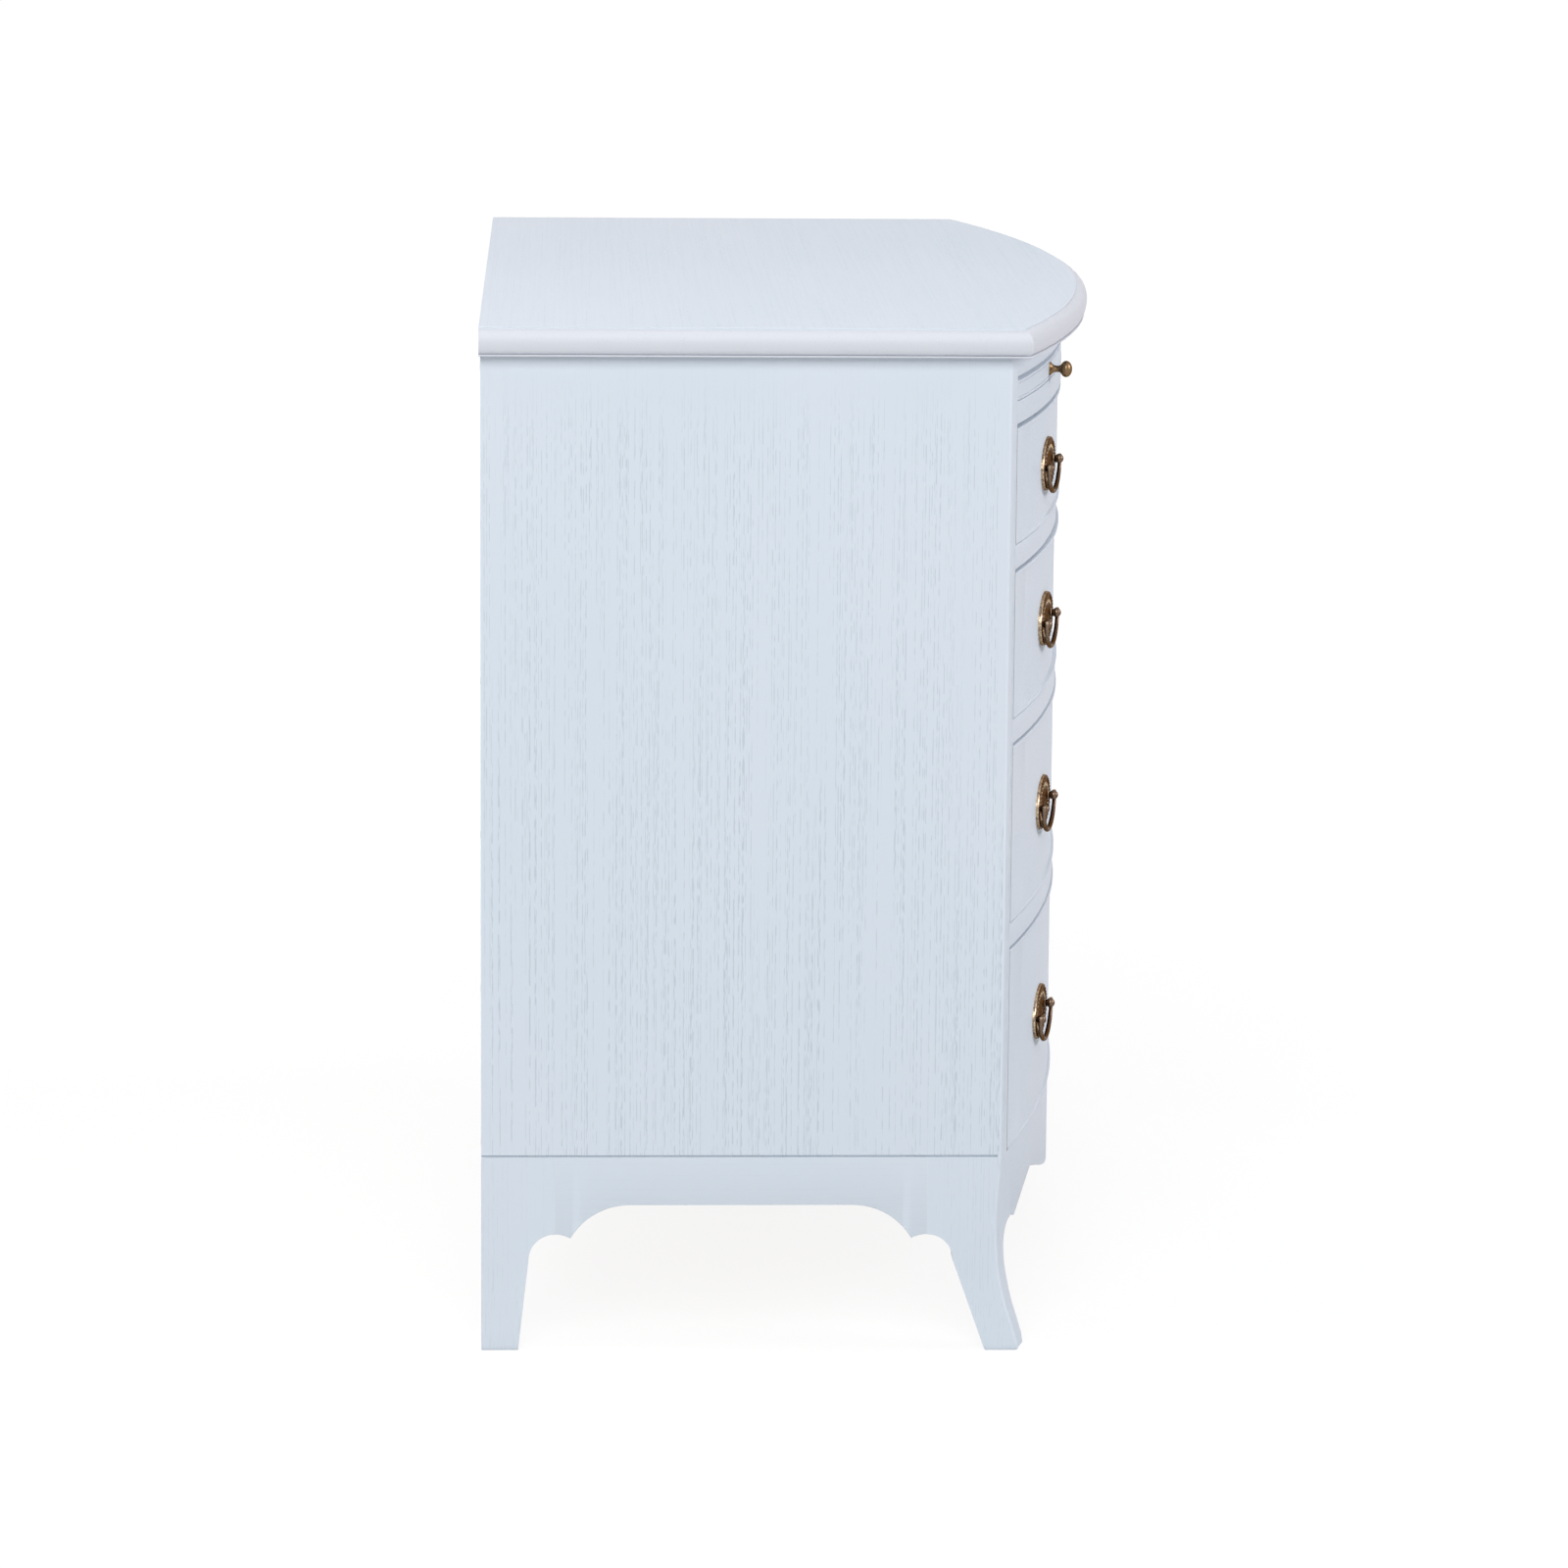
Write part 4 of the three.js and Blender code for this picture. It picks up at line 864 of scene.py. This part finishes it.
def bowed_panel(name, low, high, rear, near, fall, recess=0.0):
    """A bowed front. near lists distances from an edge, and fall is how far the face
    lies behind the case there. rear is the plan behind it, from right to left. Inside
    the lip the face is flatter than the bow by the recess."""
    field = spread(-END_HALF + near[-1], END_HALF - near[-1], BOW_STEPS)[1:-1]
    columns = [(-END_HALF + d, d) for d in near] + [(x, FAR) for x in field]
    columns += [(END_HALF - d, d) for d in reversed(near)]
    near_rows = near + spread(*LIP, 3) if recess else near
    rows = [(low + d, d) for d in near_rows] + [(high - d, d) for d in reversed(near_rows)]
    rings = []
    for z, from_edge in rows:
        back = recess * min(1, max(0, (from_edge - LIP[0]) / (LIP[1] - LIP[0])))
        face = []
        for x, from_end in columns:
            y = bow_y(x, fall(min(from_end, from_edge), from_end))
            face.append((x, y + flatter(x, END_HALF, back)))
        rings.append(at_height(face + rear, z))
    return skin(name, rings)


def shade_front_ends(mesh):
    """Paint the two end faces of a drawer front dark grey, a painted shade for the gap at the
    stile.
    """
    mesh.materials.append(gap_shade_paint)
    for polygon in mesh.polygons:
        if abs(polygon.normal.x) > SIDEWAYS:
            polygon.material_index = 1


inner_half = DRAWER_HALF - DRAWER_SIDE - CLEARANCE
lap_inset = DRAWER_REVEAL + LAP
end_y, inner_y = bow_y(END_HALF, lap_inset), bow_y(inner_half, lap_inset)
rear = [(END_HALF, end_y), (inner_half, inner_y)]
rear += bow_line(inner_half, -inner_half, DRAWER_REVEAL + FRONT_THICKNESS)
rear += [(-inner_half, inner_y), (-END_HALF, end_y)]
eased_edge = [share * FRONT_EASE for share in EASE_SHARES]
front_gaps = zip(openings, DRAWER_FLOOR_GAPS, DRAWER_TOP_GAPS, FRONT_RECESSES)
for i, ((low, high), floor_gap, top_gap, recess) in enumerate(front_gaps):
    body = f"drawer_{i + 1}"
    levels = low + floor_gap, high - top_gap
    mesh = bowed_panel(body, *levels, rear, eased_edge, front_fall, recess)
    place(mesh, f"bowed_front_{i + 1}", body, oak_level, f"{body}_front")
    shade_front_ends(mesh)
print("drawer fronts:", len(openings))

# %% [markdown]
# ## The slide
# The slide is a board that pulls out as a small table. A fine bead runs round its front
# edge. The bead's height depends only on how far a point is from the nearest edge, and
# that one rule also mitres the corners.

# %% Slide
BEAD_SETBACK, BEAD_WIDTH, BEAD_RISE = mm(0.1, 2.4, 0.5)
BEAD_SHARES, QUIRK_SHARES = (0, 0.06, 0.2, 0.4, 0.6, 0.8, 0.94, 1), (0.2, 0.9, 1.1)
BEAD_END, FIELD_SHARE = 1.001, 0.6
SLIDE_GAP, SLIDE_TOP_GAP, SLIDE_END_DEPTH = mm(0.8, 3.8, 330)
QUIRK_WIDTH, QUIRK_DEPTH = mm(0.5, 0.5)


def bead_fall(distance, end_distance):
    """A half round by the edge, a fine quirk beside it, and then the flat field."""
    share = distance / BEAD_WIDTH
    if share < BEAD_END:
        return BEAD_SETBACK + BEAD_RISE * (1 - math.sqrt(max(0, 1 - (2 * share - 1) ** 2)))
    in_quirk = distance < BEAD_WIDTH + QUIRK_WIDTH
    return BEAD_SETBACK + (BEAD_RISE + QUIRK_DEPTH if in_quirk else BEAD_RISE * FIELD_SHARE)


bead_edge = [share * BEAD_WIDTH for share in BEAD_SHARES]
bead_edge += [BEAD_WIDTH + share * QUIRK_WIDTH for share in QUIRK_SHARES]
slide_back = bow_y(DRAWER_HALF, DRAWER_REVEAL) + SLIDE_END_DEPTH
rear = [(END_HALF, slide_back), (-END_HALF, slide_back)]
slide_low, slide_high = SLIDE_FLOOR + SLIDE_GAP, SLIDE_CEILING - SLIDE_TOP_GAP
mesh = bowed_panel("slide", slide_low, slide_high, rear, bead_edge, bead_fall)
place(mesh, "beaded_slide", "slide", oak_level, "slide_board")
print("slide:", len(mesh.polygons), "faces")

# %% [markdown]
# ## Oval pulls
# Each pull is a stamped oval plate, two posts with ball heads, and a bail that hangs
# between them. The plate is a disc of rings, and a rule gives its height from the
# distance to its middle and the angle: a rolled rim, flutes, leaves, and a boss. The
# posts are turned, so they are a profile carried round an axis. Their bolts go through
# the drawer front, to a nut.

# %% Turned and stamped parts
PULL_X = WIDTH / 2 - 206 * MM
PULL_DROP, PULL_FLOOR_GAP, PULL_CEILING_GAP = mm(1.2, 0.5, 4.2)
PLATE_HALF_WIDTH, PLATE_HALF_HEIGHT, PLATE_SIDES = 46 * MM, 24 * MM, 144
PLATE_MIDDLE, PLATE_EDGE, PLATE_SINK = 0.03, 0.9 * MM, 2.0 * MM
PLATE_BASE, DISH, DISH_SHARE = 1.0, 0.3, 0.84
POST_HALF, POST_REACH, BALL_RADIUS = mm(36, 6.26, 4.3)
# Height in millimetres, place and width as shares, number and depth of the ripples.
RELIEF = {
    "rolled rim": (1.9, 0.90, 0.045, 36, 0.18),
    "outer lip": (0.6, 0.985, 0.02, 0, 0),
    "flutes": (0.7, 0.70, 0.09, 28, 0.5),
    "leaves": (1.0, 0.40, 0.12, 10, 0.5),
    "vein": (0.5, 0.54, 0.02, 0, 0),
    "boss": (1.4, 0.0, 0.11, 0, 0),
    "ring round the boss": (0.7, 0.19, 0.035, 0, 0),
}


def face_place(side, z):
    """Where a fitting sits: square to the bowed face, with its own -Y pointing out."""
    turn = side * math.asin(PULL_X / (CASE_CURVE[0] - DRAWER_REVEAL))
    spot = (side * PULL_X, bow_y(PULL_X, DRAWER_REVEAL), z)
    return Matrix.Translation(spot) @ Matrix.Rotation(turn, 4, "Z")


def turned(name, profile, segments=32):
    """A profile of (distance out from the face, radius) pairs, carried round the -Y axis."""
    angles = [2 * math.pi * i / segments for i in range(segments)]
    rings = []
    for out, radius in profile:
        rings.append([(radius * math.cos(a), -out, radius * math.sin(a)) for a in angles])
    return skin(name, rings)


def in_mm(pairs, start=0.0):
    """Profile pairs given in millimetres, and measured from a start in metres."""
    return [(start + out * MM, radius * MM) for out, radius in pairs]


def round_head(out, depth, radius, angles):
    return [(out + depth * math.sin(a), radius * math.cos(a)) for a in angles]


def plate_height(share, angle):
    """Height of the stamped plate at a share of its half width, and at an angle."""
    height = PLATE_BASE + DISH * math.cos(min(1.0, share / DISH_SHARE) * QUARTER)
    for rise, middle, width, ripples, depth in RELIEF.values():
        ripple = 1 - depth + depth * math.cos(ripples * angle)
        height += rise * ripple * math.exp(-(((share - middle) / width) ** 2))
    return height * MM


def plate_ring(share, out_at):
    ring = []
    for i in range(PLATE_SIDES):
        angle = 2 * math.pi * i / PLATE_SIDES
        x, z = PLATE_HALF_WIDTH * math.cos(angle), PLATE_HALF_HEIGHT * math.sin(angle)
        ring.append((share * x, -out_at(share, angle), share * z))
    return ring


def oval_plate(name):
    """The plate from the middle of its back, round the edge, to the middle of its face."""
    back_shares = [PLATE_MIDDLE] + spread(0.2, 1.0, 4)
    face_shares = spread(PLATE_MIDDLE, 0.80, 34) + spread(0.815, 0.985, 14)
    rings = [plate_ring(share, lambda *at: -PLATE_SINK) for share in back_shares]
    rings.append(plate_ring(1.0, lambda *at: PLATE_EDGE))
    rings += [plate_ring(share, plate_height) for share in reversed(face_shares)]
    return skin(name, rings)


def join_meshes(name, parts):
    """One mesh of several (mesh, matrix) pairs."""
    work = bmesh.new()
    for mesh, matrix in parts:
        copy = mesh.copy()
        copy.transform(matrix)
        work.from_mesh(copy)
        bpy.data.meshes.remove(copy)
    joined = bpy.data.meshes.new(name)
    work.to_mesh(joined)
    work.free()
    return joined


def moved(x, y=0.0, turn=0.0):
    return Matrix.Translation((x, y, 0)) @ Matrix.Rotation(turn, 4, "Z")


# %% Posts and plates
NUT_GAP = 0.6 * MM
wall = FRONT_THICKNESS + POST_HALF**2 / (2 * CASE_CURVE[0]) + NUT_GAP
nut_profile = [(-4.5, 1.4), (-4.2, 2), (-3, 2), (-3, 4.6), (-2.6, 5), (-0.4, 5), (0, 4.6), (0, 2)]
neck_profile = [(0.4, 2), (1.0, 4.4), (1.7, 4.5), (2.2, 3.9), (2.7, 2.9)]
ball_angles = spread(-0.90, QUARTER - 0.04, 14)
post_profile = in_mm(nut_profile, -wall) + in_mm(neck_profile)
post_profile += round_head(POST_REACH, BALL_RADIUS, BALL_RADIUS, ball_angles)
post = turned("post", post_profile)
parts = [(oval_plate("plate"), Matrix()), (post, moved(POST_HALF)), (post, moved(-POST_HALF))]
plate_with_posts = join_meshes("plate_with_posts", parts)
print("plate with posts:", len(plate_with_posts.polygons), "faces")

# %% [markdown]
# ## Bails with Geometry Nodes
# A bail is a bar bent to half an oval, thickest in the middle, whose ends turn in to
# the ball heads. A bar that follows a path is what Curve to Mesh is for. The tree makes
# the path from a half circle, so its sizes can be named inputs of the modifier.

# %% Geometry Nodes helpers
SOCKET_KINDS = {float: "NodeSocketFloat", int: "NodeSocketInt", tuple: "NodeSocketVector"}


def new_tree(name, inputs):
    """A tree with a socket for each named size, and one for the material."""
    tree = bpy.data.node_groups.new(name, "GeometryNodeTree")
    tree.interface.new_socket("Geometry", in_out="OUTPUT", socket_type="NodeSocketGeometry")
    for label, value in inputs.items():
        kind = SOCKET_KINDS[type(value)]
        socket = tree.interface.new_socket(label, in_out="INPUT", socket_type=kind)
        socket.default_value = value
    tree.interface.new_socket("Material", in_out="INPUT", socket_type="NodeSocketMaterial")
    return tree, tree.nodes.new("NodeGroupInput").outputs


def reshaped(tree, geometry, **inputs):
    """Geometry that is scaled or turned."""
    made = put(tree, "GeometryNodeTransform", {"Geometry": geometry, **inputs})
    return made.outputs[0]


def upright_oval(tree, circle, half_width, half_height):
    """A level circle with a radius of 1, made an oval and stood on its edge."""
    size = put(tree, "ShaderNodeCombineXYZ", {"X": half_width, "Y": half_height, "Z": 1.0})
    oval = reshaped(tree, circle, Scale=size.outputs[0])
    return reshaped(tree, oval, Rotation=(QUARTER, 0, 0))


def finish_tree(tree, geometry, material):
    real = put(tree, "GeometryNodeRealizeInstances", {"Geometry": geometry}).outputs[0]
    inputs = {"Geometry": real, "Material": material}
    painted = put(tree, "GeometryNodeSetMaterial", inputs)
    tree.links.new(painted.outputs[0], tree.nodes.new("NodeGroupOutput").inputs[0])


def made_real(name, tree, values):
    """The mesh that a tree makes. Values are by name, and the rest stay as in the tree."""
    carrier = add_object(name, bpy.data.meshes.new(name))
    modifier = carrier.modifiers.new(name, "NODES")
    modifier.node_group = tree
    for item in tree.interface.items_tree:
        if item.item_type == "SOCKET" and item.in_out == "INPUT" and item.name in values:
            modifier[item.identifier] = values[item.name]
    depsgraph = bpy.context.evaluated_depsgraph_get()
    mesh = bpy.data.meshes.new_from_object(carrier.evaluated_get(depsgraph))
    carrier.modifiers.remove(modifier)
    bpy.data.objects.remove(carrier)
    mesh.name = name
    return mesh


# %% Bail
BAR_RADIUS, THIN_END = 2.25 * MM, 0.78
BAIL_HALF = POST_HALF + BALL_RADIUS + CLEARANCE + BAR_RADIUS
bail_sizes = {"Half Width": BAIL_HALF, "Drop": 24.25 * MM, "Bar Radius": BAR_RADIUS}
tree, given = new_tree("bail", bail_sizes)
sweep = {"Start Angle": math.radians(172), "Sweep Angle": math.radians(196)}
sweep |= {"Resolution": 49, "Radius": 1.0}
half_circle = put(tree, "GeometryNodeCurveArc", sweep, mode="RADIUS").outputs["Curve"]
path = upright_oval(tree, half_circle, given["Half Width"], given["Drop"])
along = put(tree, "GeometryNodeSplineParameter").outputs["Factor"]
wave = maths(tree, "SINE", maths(tree, "MULTIPLY", along, math.pi))
inputs = {"Value": wave, "To Min": THIN_END, "To Max": 1.0}
swell = put(tree, "ShaderNodeMapRange", inputs).outputs[0]
inputs = {"Resolution": 20, "Radius": given["Bar Radius"]}
section = put(tree, "GeometryNodeCurvePrimitiveCircle", inputs, mode="RADIUS")
inputs = {"Curve": path, "Profile Curve": section.outputs["Curve"]}
inputs |= {"Scale": swell, "Fill Caps": True}
bar = put(tree, "GeometryNodeCurveToMesh", inputs)
finish_tree(tree, bar.outputs[0], given["Material"])
bail_bar = made_real("bail_bar", tree, {"Material": brass})
pin = turned("pin", in_mm([(0, 1.2), (6, 1.2)]), 16)
pin.transform(moved(0, turn=QUARTER))
parts = [(bail_bar, Matrix()), (pin, moved(-BAIL_HALF)), (pin, moved(BAIL_HALF, turn=math.pi))]
bail_mesh = join_meshes("bail", parts)
print("bail:", len(bail_mesh.polygons), "faces")

# %% [markdown]
# ## Petals round the plate
# A ring of small petals runs round the field of each plate. That is one petal many
# times, so Geometry Nodes place it: points on an oval, a petal on each, turned to
# point away from the middle.

# %% Petals
PETAL_STAND = 1.7 * MM
petal_sizes = {"Half Width": 33.5 * MM, "Half Height": 15.6 * MM, "Count": 28}
petal_sizes["Petal Size"] = mm(1.1, 0.7, 2.1)
tree, given = new_tree("petal_ring", petal_sizes)
inputs = {"Vertices": given["Count"], "Radius": 1.0}
circle = put(tree, "GeometryNodeMeshCircle", inputs).outputs[0]
oval = upright_oval(tree, circle, given["Half Width"], given["Half Height"])
inputs = {"Segments": 10, "Rings": 6, "Radius": 1.0}
petal = put(tree, "GeometryNodeMeshUVSphere", inputs).outputs["Mesh"]
inputs = {"Vector": put(tree, "GeometryNodeInputPosition").outputs[0]}
facing = {"axis": "Z", "pivot_axis": "Y"}
outwards = put(tree, "FunctionNodeAlignRotationToVector", inputs, **facing)
inputs = {"Points": oval, "Instance": petal, "Scale": given["Petal Size"]}
inputs["Rotation"] = outwards.outputs[0]
ring_of_petals = put(tree, "GeometryNodeInstanceOnPoints", inputs)
finish_tree(tree, ring_of_petals.outputs[0], given["Material"])
petals = made_real("petals", tree, {"Material": brass})
print("petals:", len(petals.polygons), "faces")

# %% Fit the pulls
for i, (low, high) in enumerate(openings):
    body = f"drawer_{i + 1}"
    pull_z = (low + PULL_FLOOR_GAP + high - PULL_CEILING_GAP) / 2 - PULL_DROP
    for side_name, side in (("right", 1), ("left", -1)):
        tag = f"{i + 1}_{side_name}"
        spot = face_place(side, pull_z)
        parts = [(plate_with_posts, spot), (petals, spot @ moved(0, -PETAL_STAND))]
        mesh = join_meshes("pull_" + tag, parts)
        node = f"{body}_plate_{side_name}"
        place(mesh, "oval_plate_" + tag, body, brass, node)
        mesh = join_meshes("bail_" + tag, [(bail_mesh, spot @ moved(0, -POST_REACH))])
        bail_body = f"{body}_bail_{side_name}"
        place(mesh, "swing_bail_" + tag, bail_body, brass, bail_body)
print("pulls fitted:", 2 * len(openings))

# %% [markdown]
# ## Slide knobs
# The slide has two small turned knobs: a flared base, a slim neck, and a head like a
# mushroom. One profile makes both.

# %% Knobs
knob_neck = [
    (-14, 1.2), (-13, 2), (0.3, 2), (0.3, 5.7), (0.6, 6), (1.4, 6), (1.9, 5.4), (2.6, 4.6),
    (3.6, 3.7), (5.0, 3.1), (7.2, 2.8), (9.4, 3.0), (10.4, 3.6), (10.9, 4.4), (11.4, 4.6),
    (11.8, 4.4),
]  # fmt: skip
head_angles = spread(-0.75, QUARTER - 0.05, 16)
knob_profile = in_mm(knob_neck) + round_head(*mm(15.4, 5.4, 7.4), head_angles)
knob = turned("knob", knob_profile, 40)
knob_z = (slide_low + slide_high) / 2
for side_name, side in (("right", 1), ("left", -1)):
    mesh = join_meshes("knob_" + side_name, [(knob, face_place(side, knob_z))])
    name, node = "turned_knob_" + side_name, "slide_knob_" + side_name
    place(mesh, name, "slide", held_brass, node)
print("knobs fitted: 2")

# %% [markdown]
# ## Screws in the back
# The back panel is held by a row of small screws along its edges. One screw head on
# each point of a few lines is again work for Geometry Nodes.

# %% Back screws
HEAD_RADIUS, HEAD_POINT, HEAD_DEPTH = mm(3.5, 1.6, 2.2)
SCREW_Y, SCREW_X, TOP_ROW_X = CASE_BACK_Y - 1.9 * MM, 505 * MM, 400 * MM
SCREW_LOW, SCREW_HIGH = BASE_HEIGHT + 12 * MM, TOP_UNDERSIDE - 12 * MM
screw_sizes = {"Count": 6, "Start": (0.0, 0.0, 0.0), "End": (1.0, 0.0, 0.0)}
screw_sizes["Head Radius"] = HEAD_RADIUS
tree, given = new_tree("screw_row", screw_sizes)
inputs = {"Count": given["Count"], "Start Location": given["Start"], "Offset": given["End"]}
row = put(tree, "GeometryNodeMeshLine", inputs, mode="END_POINTS").outputs[0]
inputs = {"Vertices": 16, "Radius Top": given["Head Radius"]}
inputs |= {"Radius Bottom": HEAD_POINT, "Depth": HEAD_DEPTH}
head = put(tree, "GeometryNodeMeshCone", inputs).outputs["Mesh"]
inputs = {"Points": row, "Instance": reshaped(tree, head, Rotation=(-QUARTER, 0, 0))}
screws = put(tree, "GeometryNodeInstanceOnPoints", inputs).outputs[0]
finish_tree(tree, screws, given["Material"])
screw_rows = [
    (6, (-SCREW_X, SCREW_Y, SCREW_LOW), (-SCREW_X, SCREW_Y, SCREW_HIGH)),
    (6, (SCREW_X, SCREW_Y, SCREW_LOW), (SCREW_X, SCREW_Y, SCREW_HIGH)),
    (5, (-TOP_ROW_X, SCREW_Y, SCREW_HIGH), (TOP_ROW_X, SCREW_Y, SCREW_HIGH)),
]
parts = []
for count, start, stop in screw_rows:
    values = {"Count": count, "Start": start, "End": stop, "Material": zinc}
    parts.append((made_real("screws", tree, values), Matrix()))
screws_mesh = join_meshes("back_screws", parts)
screws_mesh.materials.clear()
screws_mesh.materials.append(zinc)
screws_piece = add_object("back_screws", screws_mesh)
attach(screws_piece, "case")
print("back screws:", sum(row[0] for row in screw_rows))

# %% [markdown]
# ## Pieces that keep their frame shape
# Dust boards, drawer sides, bottoms and the back are flat boards, and the frame's own
# meshes already have their true shape. They only need the right wood, with the grain
# along the board.

# %% Finishes on the frame's boards
level_boards = ["slide_bed", "dust_board_1", "dust_board_2", "dust_board_3", "bottom_board"]
board_finish = {node: plywood_level for node in level_boards}
board_finish["back_panel"] = plywood_upright
for i in range(1, len(openings) + 1):
    board_finish[f"drawer_{i}_bottom"] = plywood_level
    board_finish[f"drawer_{i}_back"] = drawer_wood_level
    board_finish[f"drawer_{i}_side_right"] = drawer_wood_deep
    board_finish[f"drawer_{i}_side_left"] = drawer_wood_deep
for node, finish in board_finish.items():
    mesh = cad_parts[node].data
    mesh.materials.clear()
    mesh.materials.append(finish)
print("frame boards finished:", len(board_finish))

# %% [markdown]
# ## Studio
# The chest stands on a plain pale floor in even light. The world is a soft white sky,
# and large lamps, far away, give it direction: one from the camera's side, one from the
# front, and two weaker ones behind, over the top and to the right. The camera sees the
# floor and the sky as white, and the floor keeps a faint shadow of the chest.


# %% Floor and world
FLOOR_HALF = 30
FLOOR_LIT, FLOOR_SEEN_LIT = (0.74, 0.74, 0.74, 1), (0.14, 0.14, 0.14, 1)
GLOW_NEAR, GLOW_FAR, GLOW_LOW, GLOW_HIGH = 0.9, 3.0, 0.89, 1.0
WHITE, SKY, SKY_LEVEL = (1, 1, 1, 1), (0.98, 0.99, 1, 1), 0.10


def seen_directly(tree):
    """1 for rays from the camera, and for what metal mirrors or glass lets through."""
    path = put(tree, "ShaderNodeLightPath").outputs
    either = maths(tree, "MAXIMUM", path["Is Camera Ray"], path["Is Glossy Ray"])
    return maths(tree, "MAXIMUM", either, path["Is Transmission Ray"])


def either_way(tree, lighting, seen, output):
    """One shader for the light that falls on the chest, another for what is seen."""
    inputs = {0: seen_directly(tree), 1: lighting.outputs[0], 2: seen.outputs[0]}
    choice = put(tree, "ShaderNodeMixShader", inputs)
    put(tree, output, {"Surface": choice.outputs[0]})


turns = ((-1, -1), (1, -1), (1, 1), (-1, 1))
floor_corners = [(x * FLOOR_HALF, y * FLOOR_HALF, 0) for x, y in turns]
floor_mesh = bpy.data.meshes.new("floor")
floor_mesh.from_pydata(floor_corners, [], [(0, 1, 2, 3)])
floor_piece = add_object("floor", floor_mesh)
floor_piece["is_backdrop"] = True
floor_paint = bpy.data.materials.new("floor")
floor_paint.use_nodes = True
tree = floor_paint.node_tree
tree.nodes.clear()
lit = put(tree, "ShaderNodeBsdfDiffuse", {"Color": FLOOR_LIT})
lit_a_little = put(tree, "ShaderNodeBsdfDiffuse", {"Color": FLOOR_SEEN_LIT})
place_on = {0: put(tree, "ShaderNodeTexCoord").outputs["Object"]}
from_middle = put(tree, "ShaderNodeVectorMath", place_on, operation="LENGTH")
level = ramp(tree, from_middle.outputs["Value"], GLOW_NEAR, GLOW_FAR, GLOW_LOW, GLOW_HIGH)
glow = put(tree, "ShaderNodeEmission", {"Color": WHITE, "Strength": level})
bright = put(tree, "ShaderNodeAddShader", {0: lit_a_little.outputs[0], 1: glow.outputs[0]})
either_way(tree, lit, bright, "ShaderNodeOutputMaterial")
floor_mesh.materials.append(floor_paint)

world = bpy.data.worlds.new("studio")
bpy.context.scene.world = world
world.use_nodes = True
tree = world.node_tree
tree.nodes.clear()
white = put(tree, "ShaderNodeBackground", {"Color": WHITE, "Strength": 1.0})
soft = put(tree, "ShaderNodeBackground", {"Color": SKY, "Strength": SKY_LEVEL})
either_way(tree, soft, white, "ShaderNodeOutputWorld")
print("floor of", 2 * FLOOR_HALF, "metres and a soft sky")

# %% Lamps
COOL, WARM = (0.97, 1.0, 1.0), (1.0, 0.96, 0.98)
AIM = Vector((0, 0, 0.45))
# Place, size, watts and colour of each lamp.
LAMPS = {
    "side_box": ((-5.7, 0.6, 4.6), 4.2, 333, COOL),
    "front_box": ((-0.6, -6.4, 3.3), 3.0, 204, WARM),
    "top_box": ((-0.2, 2.6, 5.7), 3.0, 86, WARM),
    "fill_box": ((6.3, 3.6, 2.4), 3.0, 200, WARM),
}
for name, (spot, size, watts, colour) in LAMPS.items():
    lamp = bpy.data.lights.new(name, "AREA")
    lamp.shape, lamp.size, lamp.energy, lamp.color = "SQUARE", size, watts, colour
    holder = add_object(name, lamp)
    holder.location = spot
    holder.rotation_euler = (AIM - Vector(spot)).to_track_quat("-Z", "Y").to_euler()
bpy.context.scene.view_settings.view_transform = "Standard"
print("lamps:", list(LAMPS))

# %% [markdown]
# ## The finished size
# The finished chest has to fill the same room as the frame it was built on, so its box
# is printed.

# %% Size of the finished chest
low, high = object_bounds()
print("visual box:", tuple(round(v, 4) for v in high - low))
